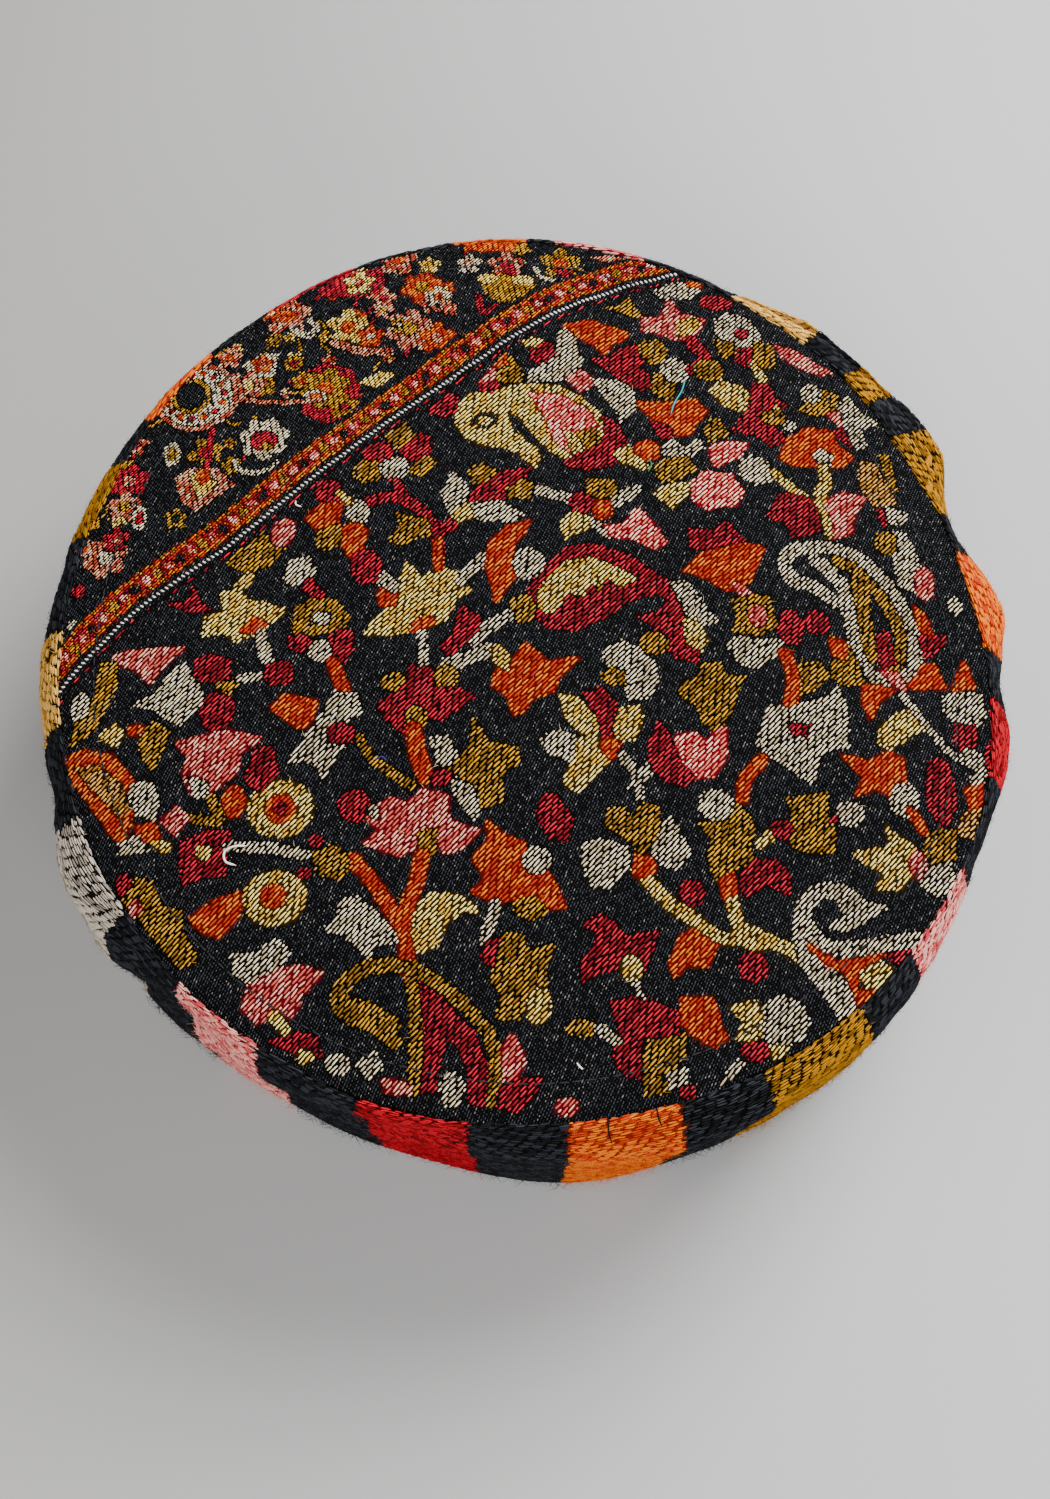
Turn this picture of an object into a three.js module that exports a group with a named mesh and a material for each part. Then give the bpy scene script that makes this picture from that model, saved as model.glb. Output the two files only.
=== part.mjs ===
// Soft round cap with a flat domed crown and a straight woven side band.
// Millimetres, +Z up. The rim rests on z = 0 and the cap is centred on the Z axis.
// The front of the cap faces -Y and the join of the band is at the back, on +Y.
import * as THREE from 'three';

// Whole cap
const wallHeight = 75;        // rim to crown seam
const domeRise = 8.5;         // crown centre above its own edge
const crownRadius = 92;       // crown edge, at the seam
const segments = 48;          // facets round the cap

// Cloth and inner layers
const clothThick = 1.0;       // woven wool of the crown and the band
const stiffenerThick = 0.8;
const liningThick = 0.5;
const sweatbandThick = 0.8;
const layerGap = 0.3;         // clear air between two layers
const threadRadius = 0.2;
const threadGap = 0.9;        // clear air where a row of stitches runs between two layers

// Seam allowances and edges
const allowanceDrop = 8;      // crown edge turned down inside the band
const hemHeight = 14;         // band edge turned up inside the rim
const sweatbandHeight = 30;
const sweatbandRise = 1.5;    // sweatband edge above the rim
const topstitchInset = 7;     // row of stitches inside the crown edge
const seamRoll = 0.2;         // how far the two edges of the crown seam roll past each other
const seamTuck = 0.6;         // band edge below the crown's outer face, at the seam
const interliningInset = 1;   // felt disc inside the crown's turned edge
const liningInset = 2;        // lining disc inside the crown's turned edge

// Rows of stitches: heights above the rim
const hemStitchHeight = 10;
const sweatbandStitchHeight = 4;
const crownStitchDrop = 3;    // below the crown seam
const liningStitchDrop = 7.5;
const joinStitchLow = 18;     // the band's closing seam starts here
const joinStitchLength = 34;
const threadSides = 5;

// Outer radius of the side band at heights above the rim: a soft, slightly bulging wall.
const wallOutline = [[0, 95], [20, 95.9], [42, 96.8], [60, 97.2], [67, 96.8], [71.5, 95.8]];

function wallRadius(z) {
  for (let i = 1; i < wallOutline.length; i += 1) {
    const [z0, r0] = wallOutline[i - 1];
    const [z1, r1] = wallOutline[i];
    if (z <= z1) return r0 + (r1 - r0) * (z - z0) / (z1 - z0);
  }
  return wallOutline[wallOutline.length - 1][1];
}

// Height of the crown's outer face at radius r.
function domeHeight(r) {
  return wallHeight + domeRise * (1 - (r / crownRadius) ** 2);
}

// A colour, roughness and metalness of its own for every piece.
function fabric(color, roughness) {
  return new THREE.MeshStandardMaterial({ color, roughness, metalness: 0, side: THREE.FrontSide });
}

// Turns a closed outline of [radius, height] pairs about the Z axis.
function revolve(name, outline, material) {
  let area = 0;
  outline.forEach(([r0, z0], i) => {
    const [r1, z1] = outline[(i + 1) % outline.length];
    area += r0 * z1 - r1 * z0;
  });
  const points = outline.map(([r, z]) => new THREE.Vector2(r, z));
  if (area < 0) points.reverse();
  const first = points.findIndex((p) => p.x === 0);
  if (first < 0) {
    points.push(points[0].clone());
  } else {
    // A disc: the outline starts and ends on the axis.
    while (points[0].x !== 0 || points[points.length - 1].x !== 0) points.push(points.shift());
  }
  const geometry = new THREE.LatheGeometry(points, segments);
  geometry.rotateX(Math.PI / 2);
  const mesh = new THREE.Mesh(geometry, material);
  mesh.name = name;
  return mesh;
}

// Outline of a strip of constant thickness whose right-hand face follows the path.
function strip(path, thickness) {
  const far = path.map((point, i) => {
    const before = path[Math.max(i - 1, 0)];
    const after = path[Math.min(i + 1, path.length - 1)];
    const a = new THREE.Vector2(point[0] - before[0], point[1] - before[1]);
    const b = new THREE.Vector2(after[0] - point[0], after[1] - point[1]);
    if (i === 0) a.copy(b);
    if (i === path.length - 1) b.copy(a);
    a.normalize();
    b.normalize();
    const normal = new THREE.Vector2(-a.y - b.y, a.x + b.x).normalize();
    const reach = thickness / Math.max(normal.dot(new THREE.Vector2(-a.y, a.x)), 0.4);
    return [point[0] + normal.x * reach, point[1] + normal.y * reach];
  });
  return path.concat(far.reverse());
}

// A dome-shaped disc under the crown's outer face, `depth` below it, with a turned-down edge.
function domeOutline(depth, thickness, edgeRadius, edgeDrop) {
  const steps = 5;
  const top = [];
  const under = [];
  for (let i = 0; i <= steps; i += 1) {
    const share = i / steps;
    const outer = edgeRadius * share;
    const inner = (edgeRadius - thickness) * share;
    top.push([outer, domeHeight(outer) - depth]);
    under.push([inner, domeHeight(inner) - depth - thickness]);
  }
  if (edgeDrop === 0) return top.concat(under.reverse());
  const foot = domeHeight(edgeRadius) - depth - edgeDrop;
  return top.concat([[edgeRadius, foot], [edgeRadius - thickness, foot]], under.reverse());
}

// A ring of thread round the cap.
function threadRing(name, radius, height, material) {
  const outline = [];
  for (let i = 0; i < threadSides; i += 1) {
    const angle = 2 * Math.PI * i / threadSides;
    outline.push([radius + threadRadius * Math.cos(angle), height + threadRadius * Math.sin(angle)]);
  }
  return revolve(name, outline, material);
}

// Radii where the two turned-in edges of the crown seam stand side by side.
const crownEdgeOuter = crownRadius - seamRoll;
const crownEdgeInner = crownEdgeOuter - clothThick;
const bandEdgeInner = crownEdgeOuter + threadGap;
const bandEdgeOuter = bandEdgeInner + clothThick;
const liningEdge = crownEdgeInner - liningInset;

// Insets of each layer from the band's outer face.
const stiffenerInset = clothThick + layerGap;
const hemInset = stiffenerInset + stiffenerThick + layerGap;
const sweatbandInset = hemInset + clothThick + threadGap;

function crownPanel() {
  return revolve('crown_panel', domeOutline(0, clothThick, crownEdgeOuter, allowanceDrop),
    fabric(0x12141a, 0.9));
}

function crownInterlining() {
  const edge = crownEdgeInner - interliningInset;
  return revolve('crown_interlining', domeOutline(clothThick + layerGap, stiffenerThick, edge, 0),
    fabric(0xd9d4c6, 0.95));
}

function crownLining() {
  const depth = clothThick + stiffenerThick + 2 * layerGap;
  return revolve('crown_lining', domeOutline(depth, liningThick, liningEdge, allowanceDrop - liningInset),
    fabric(0x1b1c20, 0.7));
}

// The band: turned in at the crown seam, down the outside, round the rim and up inside as a hem.
function sideBand() {
  const outside = wallOutline.slice().reverse().map(([z, r]) => [r, z]);
  const hemOuter = wallRadius(0) - hemInset;
  const path = [
    [bandEdgeInner, wallHeight - allowanceDrop],
    [bandEdgeInner, wallHeight - seamTuck],
    [bandEdgeOuter + seamRoll, wallHeight - seamTuck - layerGap],
    ...outside,
    [hemOuter - clothThick, 0],
    [wallRadius(hemHeight) - hemInset - clothThick, hemHeight],
  ];
  return revolve('side_band', strip(path.reverse(), clothThick).reverse(), fabric(0xa81c28, 0.9));
}

// A strip standing parallel to the wall, `inset` inside its outer face.
function wallStrip(name, inset, thickness, heights, material) {
  const outer = heights.map((z) => [wallRadius(z) - inset, z]);
  const inner = heights.map((z) => [wallRadius(z) - inset - thickness, z]);
  return revolve(name, outer.concat(inner.reverse()), material);
}

function bandStiffener() {
  return wallStrip('band_stiffener', stiffenerInset, stiffenerThick,
    [clothThick + layerGap, 20, 42, 60, 67], fabric(0xcfc8b6, 0.95));
}

function sweatband() {
  return wallStrip('sweatband', sweatbandInset, sweatbandThick,
    [sweatbandRise, 20, sweatbandRise + sweatbandHeight], fabric(0x20160f, 0.6));
}

// The band lining runs from above the hem to the crown lining's turned edge.
function bandLining() {
  const top = liningEdge + threadGap + liningThick;
  const start = hemHeight + 1;
  const middle = 42;
  const shoulder = 56;
  const seamOverlap = 5;
  const seamLow = wallHeight - allowanceDrop - 1.5;
  const outer = [
    [wallRadius(start) - hemInset, start],
    [wallRadius(middle) - hemInset, middle],
    [wallRadius(shoulder) - hemInset, shoulder],
    [top, seamLow],
    [top, seamLow + seamOverlap],
  ];
  return revolve('band_lining', strip(outer, liningThick), fabric(0x1b1c20, 0.7));
}

// Closing seam of the band at the back, sewn down the inside of the stiffener.
function bandJoinThread() {
  const sides = threadSides + 1;
  const geometry = new THREE.CylinderGeometry(threadRadius, threadRadius, joinStitchLength, sides);
  geometry.rotateX(Math.PI / 2);
  const middle = joinStitchLow + joinStitchLength / 2;
  // It clears the sweatband, whose flat facets lie inside its corners.
  const facet = Math.cos(Math.PI / segments);
  const sweatbandFace = (wallRadius(sweatbandRise + sweatbandHeight) - sweatbandInset) * facet;
  geometry.translate(0, sweatbandFace + 2 * threadRadius, middle);
  const mesh = new THREE.Mesh(geometry, fabric(0x0e0e10, 0.8));
  mesh.name = 'band_join_thread';
  return mesh;
}

const cap = new THREE.Group();
cap.name = 'woven_cap';

cap.add(
  crownPanel(),
  crownInterlining(),
  crownLining(),
  sideBand(),
  bandStiffener(),
  bandLining(),
  sweatband(),
  threadRing('crown_seam_thread', crownEdgeOuter + threadGap / 2, wallHeight - crownStitchDrop,
    fabric(0x0e0e10, 0.8)),
  threadRing('crown_topstitch_thread', crownRadius - topstitchInset,
    domeHeight(crownRadius - topstitchInset) + 1.5 * threadRadius, fabric(0x0e0e10, 0.8)),
  threadRing('hem_thread', wallRadius(hemStitchHeight) - hemInset - clothThick - threadGap / 2,
    hemStitchHeight, fabric(0x0e0e10, 0.8)),
  threadRing('sweatband_thread',
    wallRadius(sweatbandStitchHeight) - sweatbandInset - sweatbandThick - 2 * threadRadius,
    sweatbandStitchHeight, fabric(0x3a2a1c, 0.8)),
  threadRing('lining_seam_thread', liningEdge + threadGap / 2, wallHeight - liningStitchDrop,
    fabric(0x0e0e10, 0.8)),
  bandJoinThread(),
);

export default cap;
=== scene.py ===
# Soft round woven cap: tapestry-twill crown, colour-block side band, lining and sweatband.
# Lengths are in mm until makeMesh turns them into metres; angles are in degrees in the dictionaries.
import math
import bpy
import numpy as np
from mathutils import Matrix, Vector


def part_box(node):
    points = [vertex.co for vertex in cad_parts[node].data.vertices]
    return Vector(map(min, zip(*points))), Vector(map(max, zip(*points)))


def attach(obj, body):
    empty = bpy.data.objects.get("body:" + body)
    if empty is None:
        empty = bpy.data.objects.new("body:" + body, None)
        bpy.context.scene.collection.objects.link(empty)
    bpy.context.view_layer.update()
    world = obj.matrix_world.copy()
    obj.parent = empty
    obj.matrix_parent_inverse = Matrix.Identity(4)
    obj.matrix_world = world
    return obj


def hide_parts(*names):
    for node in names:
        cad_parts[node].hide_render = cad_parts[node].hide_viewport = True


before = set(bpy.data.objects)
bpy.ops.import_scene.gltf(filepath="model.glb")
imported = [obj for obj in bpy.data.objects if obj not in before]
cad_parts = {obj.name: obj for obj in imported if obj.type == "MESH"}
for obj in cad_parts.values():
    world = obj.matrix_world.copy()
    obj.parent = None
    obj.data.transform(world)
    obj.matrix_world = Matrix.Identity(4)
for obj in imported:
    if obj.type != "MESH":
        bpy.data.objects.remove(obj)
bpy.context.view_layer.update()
random = np.random.default_rng(41)
mm = 0.001

seamRoll, seamTuck = 0.2, 0.6    # mm from the crown's turned edge, and from the band's top, to the seam
crownHigh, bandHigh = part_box("crown_panel")[1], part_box("side_band")[1]
crownRadius = crownHigh.x / mm + seamRoll
crownTop = crownHigh.z / mm
seamZ = bandHigh.z / mm + seamTuck
domeRise = crownTop - seamZ
rimRadius = 95.0
around = 2 * np.pi * rimRadius   # one turn of the band's u, in mm
print("stage 1: frame loaded, crown radius", round(crownRadius, 1), "top", round(crownTop, 1))


# The crown seam isn't a true circle: waves round it, each with its turns, size in mm and where it peaks.
shapeOptions = {
    "seamWaves": [(2, 1.7, -68), (3, 1.7, -31), (4, 0.6, -11)],
    "shoulder": 5.0,          # how far the band bulges past the seam
    "shoulderZ": 62.0,
    "edgeDrop": 0.9,          # how far the crown rolls down into the seam
    "seamBulges": [(38, 24, 3.0), (130, 30, 2.2)],                 # where, how wide (degrees), how far out
    "seamDips": [(28, 20, -1.4), (100, 40, 0.5)],                  # the same, for how far up
    "pushedIn": [(255, 20, 4.6), (235, 10, 2.0), (290, 10, 1.4)],  # the same, for how far in the wall stands
}
# Soft bulges of the band: where, how wide (degrees), how far out and how far the shoulder rises (mm).
bandBulges = [
    (50, 18, 0.0, 7.0), (19, 7, -3.6, 3.0), (292, 22, 1.6, 0.0), (335, 26, -1.8, 3.0), (250, 20, -3.6, 0.0),
    (309, 9, 2.4, 0.0), (31, 7, 4.6, 0.0), (8, 8, 3.6, 0.0), (210, 7, 3.6, 0.0), (197, 6, -2.4, 0.0),
    (225, 8, -2.2, 0.0), (350, 6, 1.4, 0.0), (38, 6, 1.6, 0.0), (190, 30, 0.6, 2.0), (122, 34, -1.6, 5.0)]


# A smooth hump round the cap: 1 at the angle `at`, fading over `wide` degrees.
def bump(a, at, wide):
    gap = (a - np.radians(at) + np.pi) % (2 * np.pi) - np.pi
    return np.exp(-(gap / np.radians(wide)) ** 2)


def humps(a, rows):
    return sum(size * bump(a, at, wide) for at, wide, size in rows)


def seamRadius(a):
    r = np.full_like(a, crownRadius)
    for turns, size, at in shapeOptions["seamWaves"]:
        r = r + size * np.cos(turns * (a - np.radians(at)))
    return r + humps(a, shapeOptions["seamBulges"])


# How far the wall is pushed in at angle a, where the cap stands slightly out of round.
def squeeze(a):
    return humps(a, shapeOptions["pushedIn"])


def seamHeight(a):
    return seamZ + 0.6 * np.cos(2 * a + 0.5) + humps(a, shapeOptions["seamDips"])


# A smooth field of soft lumps.
class Ripples:
    def __init__(self, size, height, count, seed):
        pick = np.random.default_rng(seed)
        turn = pick.uniform(0, 2 * np.pi, count)
        wave = 2 * np.pi / (size * pick.uniform(0.7, 1.6, count))
        self.kx, self.ky = wave * np.cos(turn), wave * np.sin(turn)
        self.phase = pick.uniform(0, 2 * np.pi, count)
        self.height = height * (2.0 / count) ** 0.5

    def at(self, u, v):
        total = np.zeros_like(u)
        for kx, ky, phase in zip(self.kx, self.ky, self.phase):
            total += np.cos(kx * u + ky * v + phase)
        return total * self.height


crownLumps = Ripples(42, 0.55, 9, 3)
crownPuckers = Ripples(9, 0.10, 12, 5)
bandLumps = Ripples(36, 0.6, 10, 8)
bandPuckers = Ripples(8, 0.12, 12, 9)


# Point of the crown's outer face above (x, y), in mm.
def crownPoint(x, y):
    r, a = np.hypot(x, y), np.arctan2(y, x)
    share = r / seamRadius(a)
    edge = np.clip((share - 0.95) / 0.05, 0, 1.3)
    calm = np.clip((1.02 - share) / 0.15, 0, 1)
    z = seamHeight(a) * np.clip(share, 0, 1) ** 4 + seamZ * (1 - np.clip(share, 0, 1) ** 4)
    z = z + domeRise * (1 - share ** 2) + calm * crownLumps.at(x, y) + crownPuckers.at(x, y)
    z = z - shapeOptions["edgeDrop"] * edge ** 2.2
    return np.stack([x, y, z], -1)


# Profile of the band at angle a, from inside the seam, over the shoulder to the rim and up inside as the hem.
def bandControl(a):
    seam, top = seamRadius(a), seamHeight(a)
    out, up = np.zeros_like(a), np.zeros_like(a)
    for at, wide, far, rise in bandBulges:
        out, up = out + far * bump(a, at, wide), up + rise * bump(a, at, wide)
    shoulder = np.maximum(0.55 * seam + 0.45 * crownRadius + shapeOptions["shoulder"] + out, seam + 1.6)
    high = shapeOptions["shoulderZ"] + up
    lift = np.clip(up - 5, 0, 8) * 0.35
    rim = rimRadius - squeeze(a)
    points = [
        (seam - 0.2, top - 6.0),                                   # edge turned in at the seam
        (seam + 0.1, top - 1.7),
        (seam + 0.9, top - 0.8),
        (seam + 0.62 * (shoulder - seam) + 0.5, 0.45 * high + 0.55 * top + 0.3 * lift),
        (shoulder, high),                                          # fullest line of the wall
        (0.45 * shoulder + 0.55 * 96.2 - 0.7 * squeeze(a), 38 + 0 * a),
        (95.9 + 0.15 * out - squeeze(a), 14 + 0 * a),
        (rim, 1.5 + 0 * a),                                        # round the rim
        (rim - 0.7, 0.35 + 0 * a),
        (rim - 2.1, 0.35 + 0 * a),
        (rim - 2.7, 1.6 + 0 * a),
        (rim - 2.6, 14 + 0 * a),                                   # top of the hem
    ]
    return np.stack([np.stack([r, z], -1) for r, z in points], -2)


nominal = bandControl(np.zeros(1))[0]
bandRun = np.concatenate([[0], np.cumsum(np.linalg.norm(np.diff(nominal, axis=0), axis=1))])
rimRun, bandOuterEnd = bandRun[7], bandRun[8]   # how far down the profile the rim starts and turns under


# Point at share t of the way from p1 to p2, on a smooth curve through all four.
def curveBetween(p0, p1, p2, p3, t):
    return 0.5 * (2 * p1 + (p2 - p0) * t + (2 * p0 - 5 * p1 + 4 * p2 - p3) * t ** 2
                  + (3 * p1 - p0 - 3 * p2 + p3) * t ** 3)


# Point of the band's outer face at angle a and distance s down the profile, in mm.
def bandPoint(a, s):
    c = bandControl(a)
    spot = np.interp(s, bandRun, np.arange(len(bandRun)))
    k = np.clip(spot.astype(int), 0, len(bandRun) - 2)
    t = (spot - k)[..., None]
    row = np.arange(len(a))
    p0, p1 = c[row, np.maximum(k - 1, 0)], c[row, k]
    p2, p3 = c[row, k + 1], c[row, np.minimum(k + 2, len(bandRun) - 1)]
    rz = curveBetween(p0, p1, p2, p3, t)
    calm = np.clip(s / 12, 0, 1) * np.clip((rimRun - s) / 12, 0, 1)
    u, v = rimRadius * np.cos(a) + 0.8 * s, rimRadius * np.sin(a) - 0.6 * s
    far = calm * (bandLumps.at(u, v) + bandPuckers.at(u, v))
    r = rz[..., 0] + far
    return np.stack([r * np.cos(a), r * np.sin(a), rz[..., 1]], -1)


# Points of a surface and its outward directions, from two short steps over it.
def normalsOf(surface, u, v, stepU, stepV):
    p = surface(u, v)
    n = np.cross(surface(u + stepU, v) - p, surface(u, v + stepV) - p)
    return p, n / np.maximum(np.linalg.norm(n, axis=-1, keepdims=True), 1e-9)


# The band with u in mm round it (clockwise seen from above) and v in mm down it.
def bandFace(u, v):
    return bandPoint(-u / rimRadius, v)


# Points and normals of the crown on rings at those shares of its radius.
def crownGrid(shares, columns, step):
    a = (np.arange(columns) * 2 * np.pi / columns)[None]
    r = shares[:, None] * seamRadius(a)
    x, y = r * np.cos(a), r * np.sin(a)
    points, normal = normalsOf(crownPoint, x, y, step, step)
    return x, y, points, normal


# Points and normals of the band on a grid, rows s mm down it and even columns round it.
def bandGrid(s, columns, step=0.3):
    u = -np.arange(columns) * around / columns
    u, v = np.broadcast_to(u[None], (len(s), columns)), np.broadcast_to(s[:, None], (len(s), columns))
    points, normal = normalsOf(bandFace, u.ravel(), v.ravel(), step, step)
    return u, v, points.reshape(len(s), columns, 3), normal.reshape(len(s), columns, 3)


# A mesh object from points in mm and faces, as one array or a list of arrays of equal-length faces.
def makeMesh(name, points, faces, smooth=True):
    arrays = faces if isinstance(faces, list) else [faces]
    mesh = bpy.data.meshes.new(name)
    corners = np.concatenate([f.reshape(-1) for f in arrays]).astype(np.int32)
    sizes = np.concatenate([np.full(len(f), f.shape[1]) for f in arrays]).astype(np.int32)
    mesh.vertices.add(len(points))
    mesh.vertices.foreach_set("co", (np.asarray(points, float) * mm).astype(np.float32).ravel())
    mesh.loops.add(len(corners))
    mesh.loops.foreach_set("vertex_index", corners)
    mesh.polygons.add(len(sizes))
    mesh.polygons.foreach_set("loop_start", np.concatenate([[0], np.cumsum(sizes)[:-1]]).astype(np.int32))
    mesh.update(calc_edges=True)
    mesh.validate()
    if smooth:
        mesh.polygons.foreach_set("use_smooth", np.ones(len(mesh.polygons), bool))
    obj = bpy.data.objects.new(name, mesh)
    bpy.context.scene.collection.objects.link(obj)
    return obj


# Quads of a grid whose last column joins the first.
def gridFaces(rows, columns):
    i, j = np.meshgrid(np.arange(rows - 1), np.arange(columns), indexing="ij")
    right = (j + 1) % columns
    below = (i + 1) * columns
    return np.stack([i * columns + j, i * columns + right, below + right, below + j], -1).reshape(-1, 4)


# Gives a piece its material and body, and hides the design's parts that it stands for.
def dress(obj, material, slotName, *nodes):
    obj.data.materials.append(material)
    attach(obj, "root")
    if nodes:
        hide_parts(*nodes)
    return obj


# A node socket that can be used in a Python expression.
class Sock:
    def __init__(self, tree, out):
        self.tree, self.out = tree, out

    # Adds one Math node; with first, the other value goes in before this one.
    def maths(self, kind, other=None, first=False):
        node = self.tree.nodes.new("ShaderNodeMath")
        node.operation = kind
        values = [other, self] if first else [self, other]
        for place, value in enumerate(values):
            if value is None:
                continue
            if isinstance(value, Sock):
                self.tree.links.new(value.out, node.inputs[place])
            else:
                node.inputs[place].default_value = value
        return Sock(self.tree, node.outputs[0])

    def __add__(self, other):
        return self.maths("ADD", other)

    def __radd__(self, other):
        return self.maths("ADD", other)

    def __sub__(self, other):
        return self.maths("SUBTRACT", other)

    def __rsub__(self, other):
        return self.maths("SUBTRACT", other, True)

    def __mul__(self, other):
        return self.maths("MULTIPLY", other)

    def __rmul__(self, other):
        return self.maths("MULTIPLY", other)

    def __truediv__(self, other):
        return self.maths("DIVIDE", other)

    def __rtruediv__(self, other):
        return self.maths("DIVIDE", other, True)

    def __pow__(self, other):
        return self.maths("POWER", other)

    def __rpow__(self, other):
        return self.maths("POWER", other, True)

    def sine(self):
        return self.maths("SINE")

    def clamp(self):
        return self.maths("MAXIMUM", 0.0).maths("MINIMUM", 1.0)

    # 0 below low, 1 above high, and even between them.
    def step(self, low, high):
        return ((self - low) * (1.0 / (high - low))).clamp()


# Adds nodes to one material.
class Maker:
    def __init__(self, name):
        self.material = bpy.data.materials.new(name)
        self.material.use_nodes = True
        self.tree = self.material.node_tree
        self.shader = self.tree.nodes["Principled BSDF"]

    def node(self, kind, settings=None, out=0, **values):
        node = self.tree.nodes.new(kind)
        for key, value in (settings or {}).items():
            setattr(node, key, value)
        for key, value in values.items():
            self.put(node.inputs[key.replace("_", " ")], value)
        return Sock(self.tree, node.outputs[out])

    def put(self, socket, value):
        if isinstance(value, Sock):
            self.tree.links.new(value.out, socket)
        else:
            socket.default_value = value

    def set(self, **values):
        for key, value in values.items():
            self.put(self.shader.inputs[key.replace("_", " ")], value)

    # Colour between first and second. The Mix node's colour sockets are its numbers 6, 7 and 2.
    def mix(self, share, first, second):
        blend = self.node("ShaderNodeMix", {"data_type": "RGBA"}, 2)
        for place, value in ((0, share), (6, first), (7, second)):
            self.put(blend.out.node.inputs[place], value)
        return blend

    # x, y and z of the piece, in mm.
    def place(self):
        at = self.node("ShaderNodeTexCoord", out=3)
        split = self.node("ShaderNodeSeparateXYZ", Vector=at).out.node
        return [Sock(self.tree, o) / mm for o in split.outputs]

    # Noise with lumps of `size` mm, from 0 to 1.
    def noise(self, size, detail=2.0, rough=0.5):
        at = self.node("ShaderNodeTexCoord", out=3)
        return self.node("ShaderNodeTexNoise", Vector=at, Scale=1 / (size * mm), Detail=detail,
                         Roughness=rough)

    # Bump of `depth` mm at height 1.
    def bump(self, height, depth):
        self.set(Normal=self.node("ShaderNodeBump", Height=height, Distance=depth * mm, Strength=1.0))


# Linear colour from a #rrggbb code.
def colour(code):
    parts = [int(code[i:i + 2], 16) / 255 for i in (1, 3, 5)]
    return tuple(p / 12.92 if p < 0.04045 else ((p + 0.055) / 1.055) ** 2.4 for p in parts) + (1.0,)


# Each yarn: shades mixed float by float with their shares, and the cloth colour seen between the floats.
yarns = {
    "white": {"shades": {"#ded0ac": 0.7, "#ae9e7a": 0.3}, "under": "#0a0505"},
    "cream": {"shades": {"#eed878": 0.65, "#d4a430": 0.35}, "under": "#281800"},
    "mustard": {"shades": {"#c08a14": 0.6, "#805608": 0.4}, "under": "#050300"},
    "orange": {"shades": {"#d06a0c": 0.5, "#a42800": 0.5}, "under": "#540300"},
    "red": {"shades": {"#b40c26": 0.6, "#7a0414": 0.4}, "under": "#100003"},
    "pink": {"shades": {"#e8c4a8": 0.55, "#c86a58": 0.45}, "under": "#68000e"},
    "rose": {"shades": {"#dea88e": 0.5, "#b85246": 0.5}, "under": "#54000a"},
    "blush": {"shades": {"#cc8262": 0.5, "#a0341c": 0.35, "#d8ba90": 0.15}, "under": "#100202"},
    "tan": {"shades": {"#cc9444": 0.7, "#946018": 0.3}, "under": "#180c02"},
    # The black yarn's lighter shades, #2e3036 and #686662, are painted highlights: glints of the black twill
    # painted into the colour of its floats. #0c0d10 is the yarn's own black.
    "black": {"shades": {"#2e3036": 0.62, "#0c0d10": 0.3, "#686662": 0.08}, "under": "#010101"},
    "bandOrange": {"shades": {"#d46600": 0.6, "#b03000": 0.4}, "under": "#8a1c00"},
    "bandMustard": {"shades": {"#a46e00": 0.6, "#6a4400": 0.4}, "under": "#0c0700"},
    "bandCream": {"shades": {"#d4a450": 0.6, "#a06e20": 0.4}, "under": "#201002"},
    "bandPink": {"shades": {"#e0988c": 0.55, "#b83c40": 0.45}, "under": "#5c000c"},
    "bandRed": {"shades": {"#a80418": 0.6, "#680008": 0.4}, "under": "#0c0002"},
    "bandGrey": {"shades": {"#b4a898": 0.7, "#847a6c": 0.3}, "under": "#0e0c0c"},
    "bandBlack": {"shades": {"#0a0b0e": 0.6, "#24262c": 0.4}, "under": "#020202"},
}
yarnNames = list(yarns)
yarnIndex = {name: i for i, name in enumerate(yarnNames)}
yarnMaterials = {}


def yarnMaterial(code, name):
    if code in yarnMaterials:
        return yarnMaterials[code]
    m = Maker(name)
    fibre = m.noise(0.35, 3.0, 0.6)
    m.set(Base_Color=colour(code), Roughness=0.6 + 0.3 * fibre, Specular_IOR_Level=0.12)
    m.bump(fibre, 0.07)
    yarnMaterials[code] = m.material
    return m.material


# The chart says which yarn lies on top at each spot of the crown, in mm from its centre.
chartCell, chartHalf = 0.25, 98
chartSize = int(2 * chartHalf / chartCell)
chart = np.full((chartSize, chartSize), yarnIndex["black"], np.int8)
chartLine = (np.arange(chartSize) + 0.5) * chartCell - chartHalf


# The chart's cells at (x, y).
def cells(x, y):
    return tuple(np.clip(((v + chartHalf) / chartCell).astype(int), 0, chartSize - 1) for v in (x, y))


# Lays one yarn where inside(x, y) is true, within the box low to high.
def paint(yarn, low, high, inside):
    i0, j0 = [max(int((v + chartHalf) / chartCell) - 1, 0) for v in low]
    i1, j1 = [min(int((v + chartHalf) / chartCell) + 2, chartSize) for v in high]
    if i1 <= i0 or j1 <= j0:
        return
    x, y = np.meshgrid(chartLine[i0:i1], chartLine[j0:j1], indexing="ij")
    part = chart[i0:i1, j0:j1]
    part[inside(x, y)] = yarnIndex[yarn]


# A patch with straight edges between the points x, y, x, y, ...
def area(yarn, *numbers):
    p = np.array(numbers, float).reshape(-1, 2)

    def inside(x, y):
        odd = np.zeros(x.shape, bool)
        for (x0, y0), (x1, y1) in zip(p, np.roll(p, -1, 0)):
            if y0 != y1:
                odd ^= ((y0 > y) != (y1 > y)) & (x < (x1 - x0) * (y - y0) / (y1 - y0) + x0)
        return odd

    paint(yarn, p.min(0), p.max(0), inside)


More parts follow.
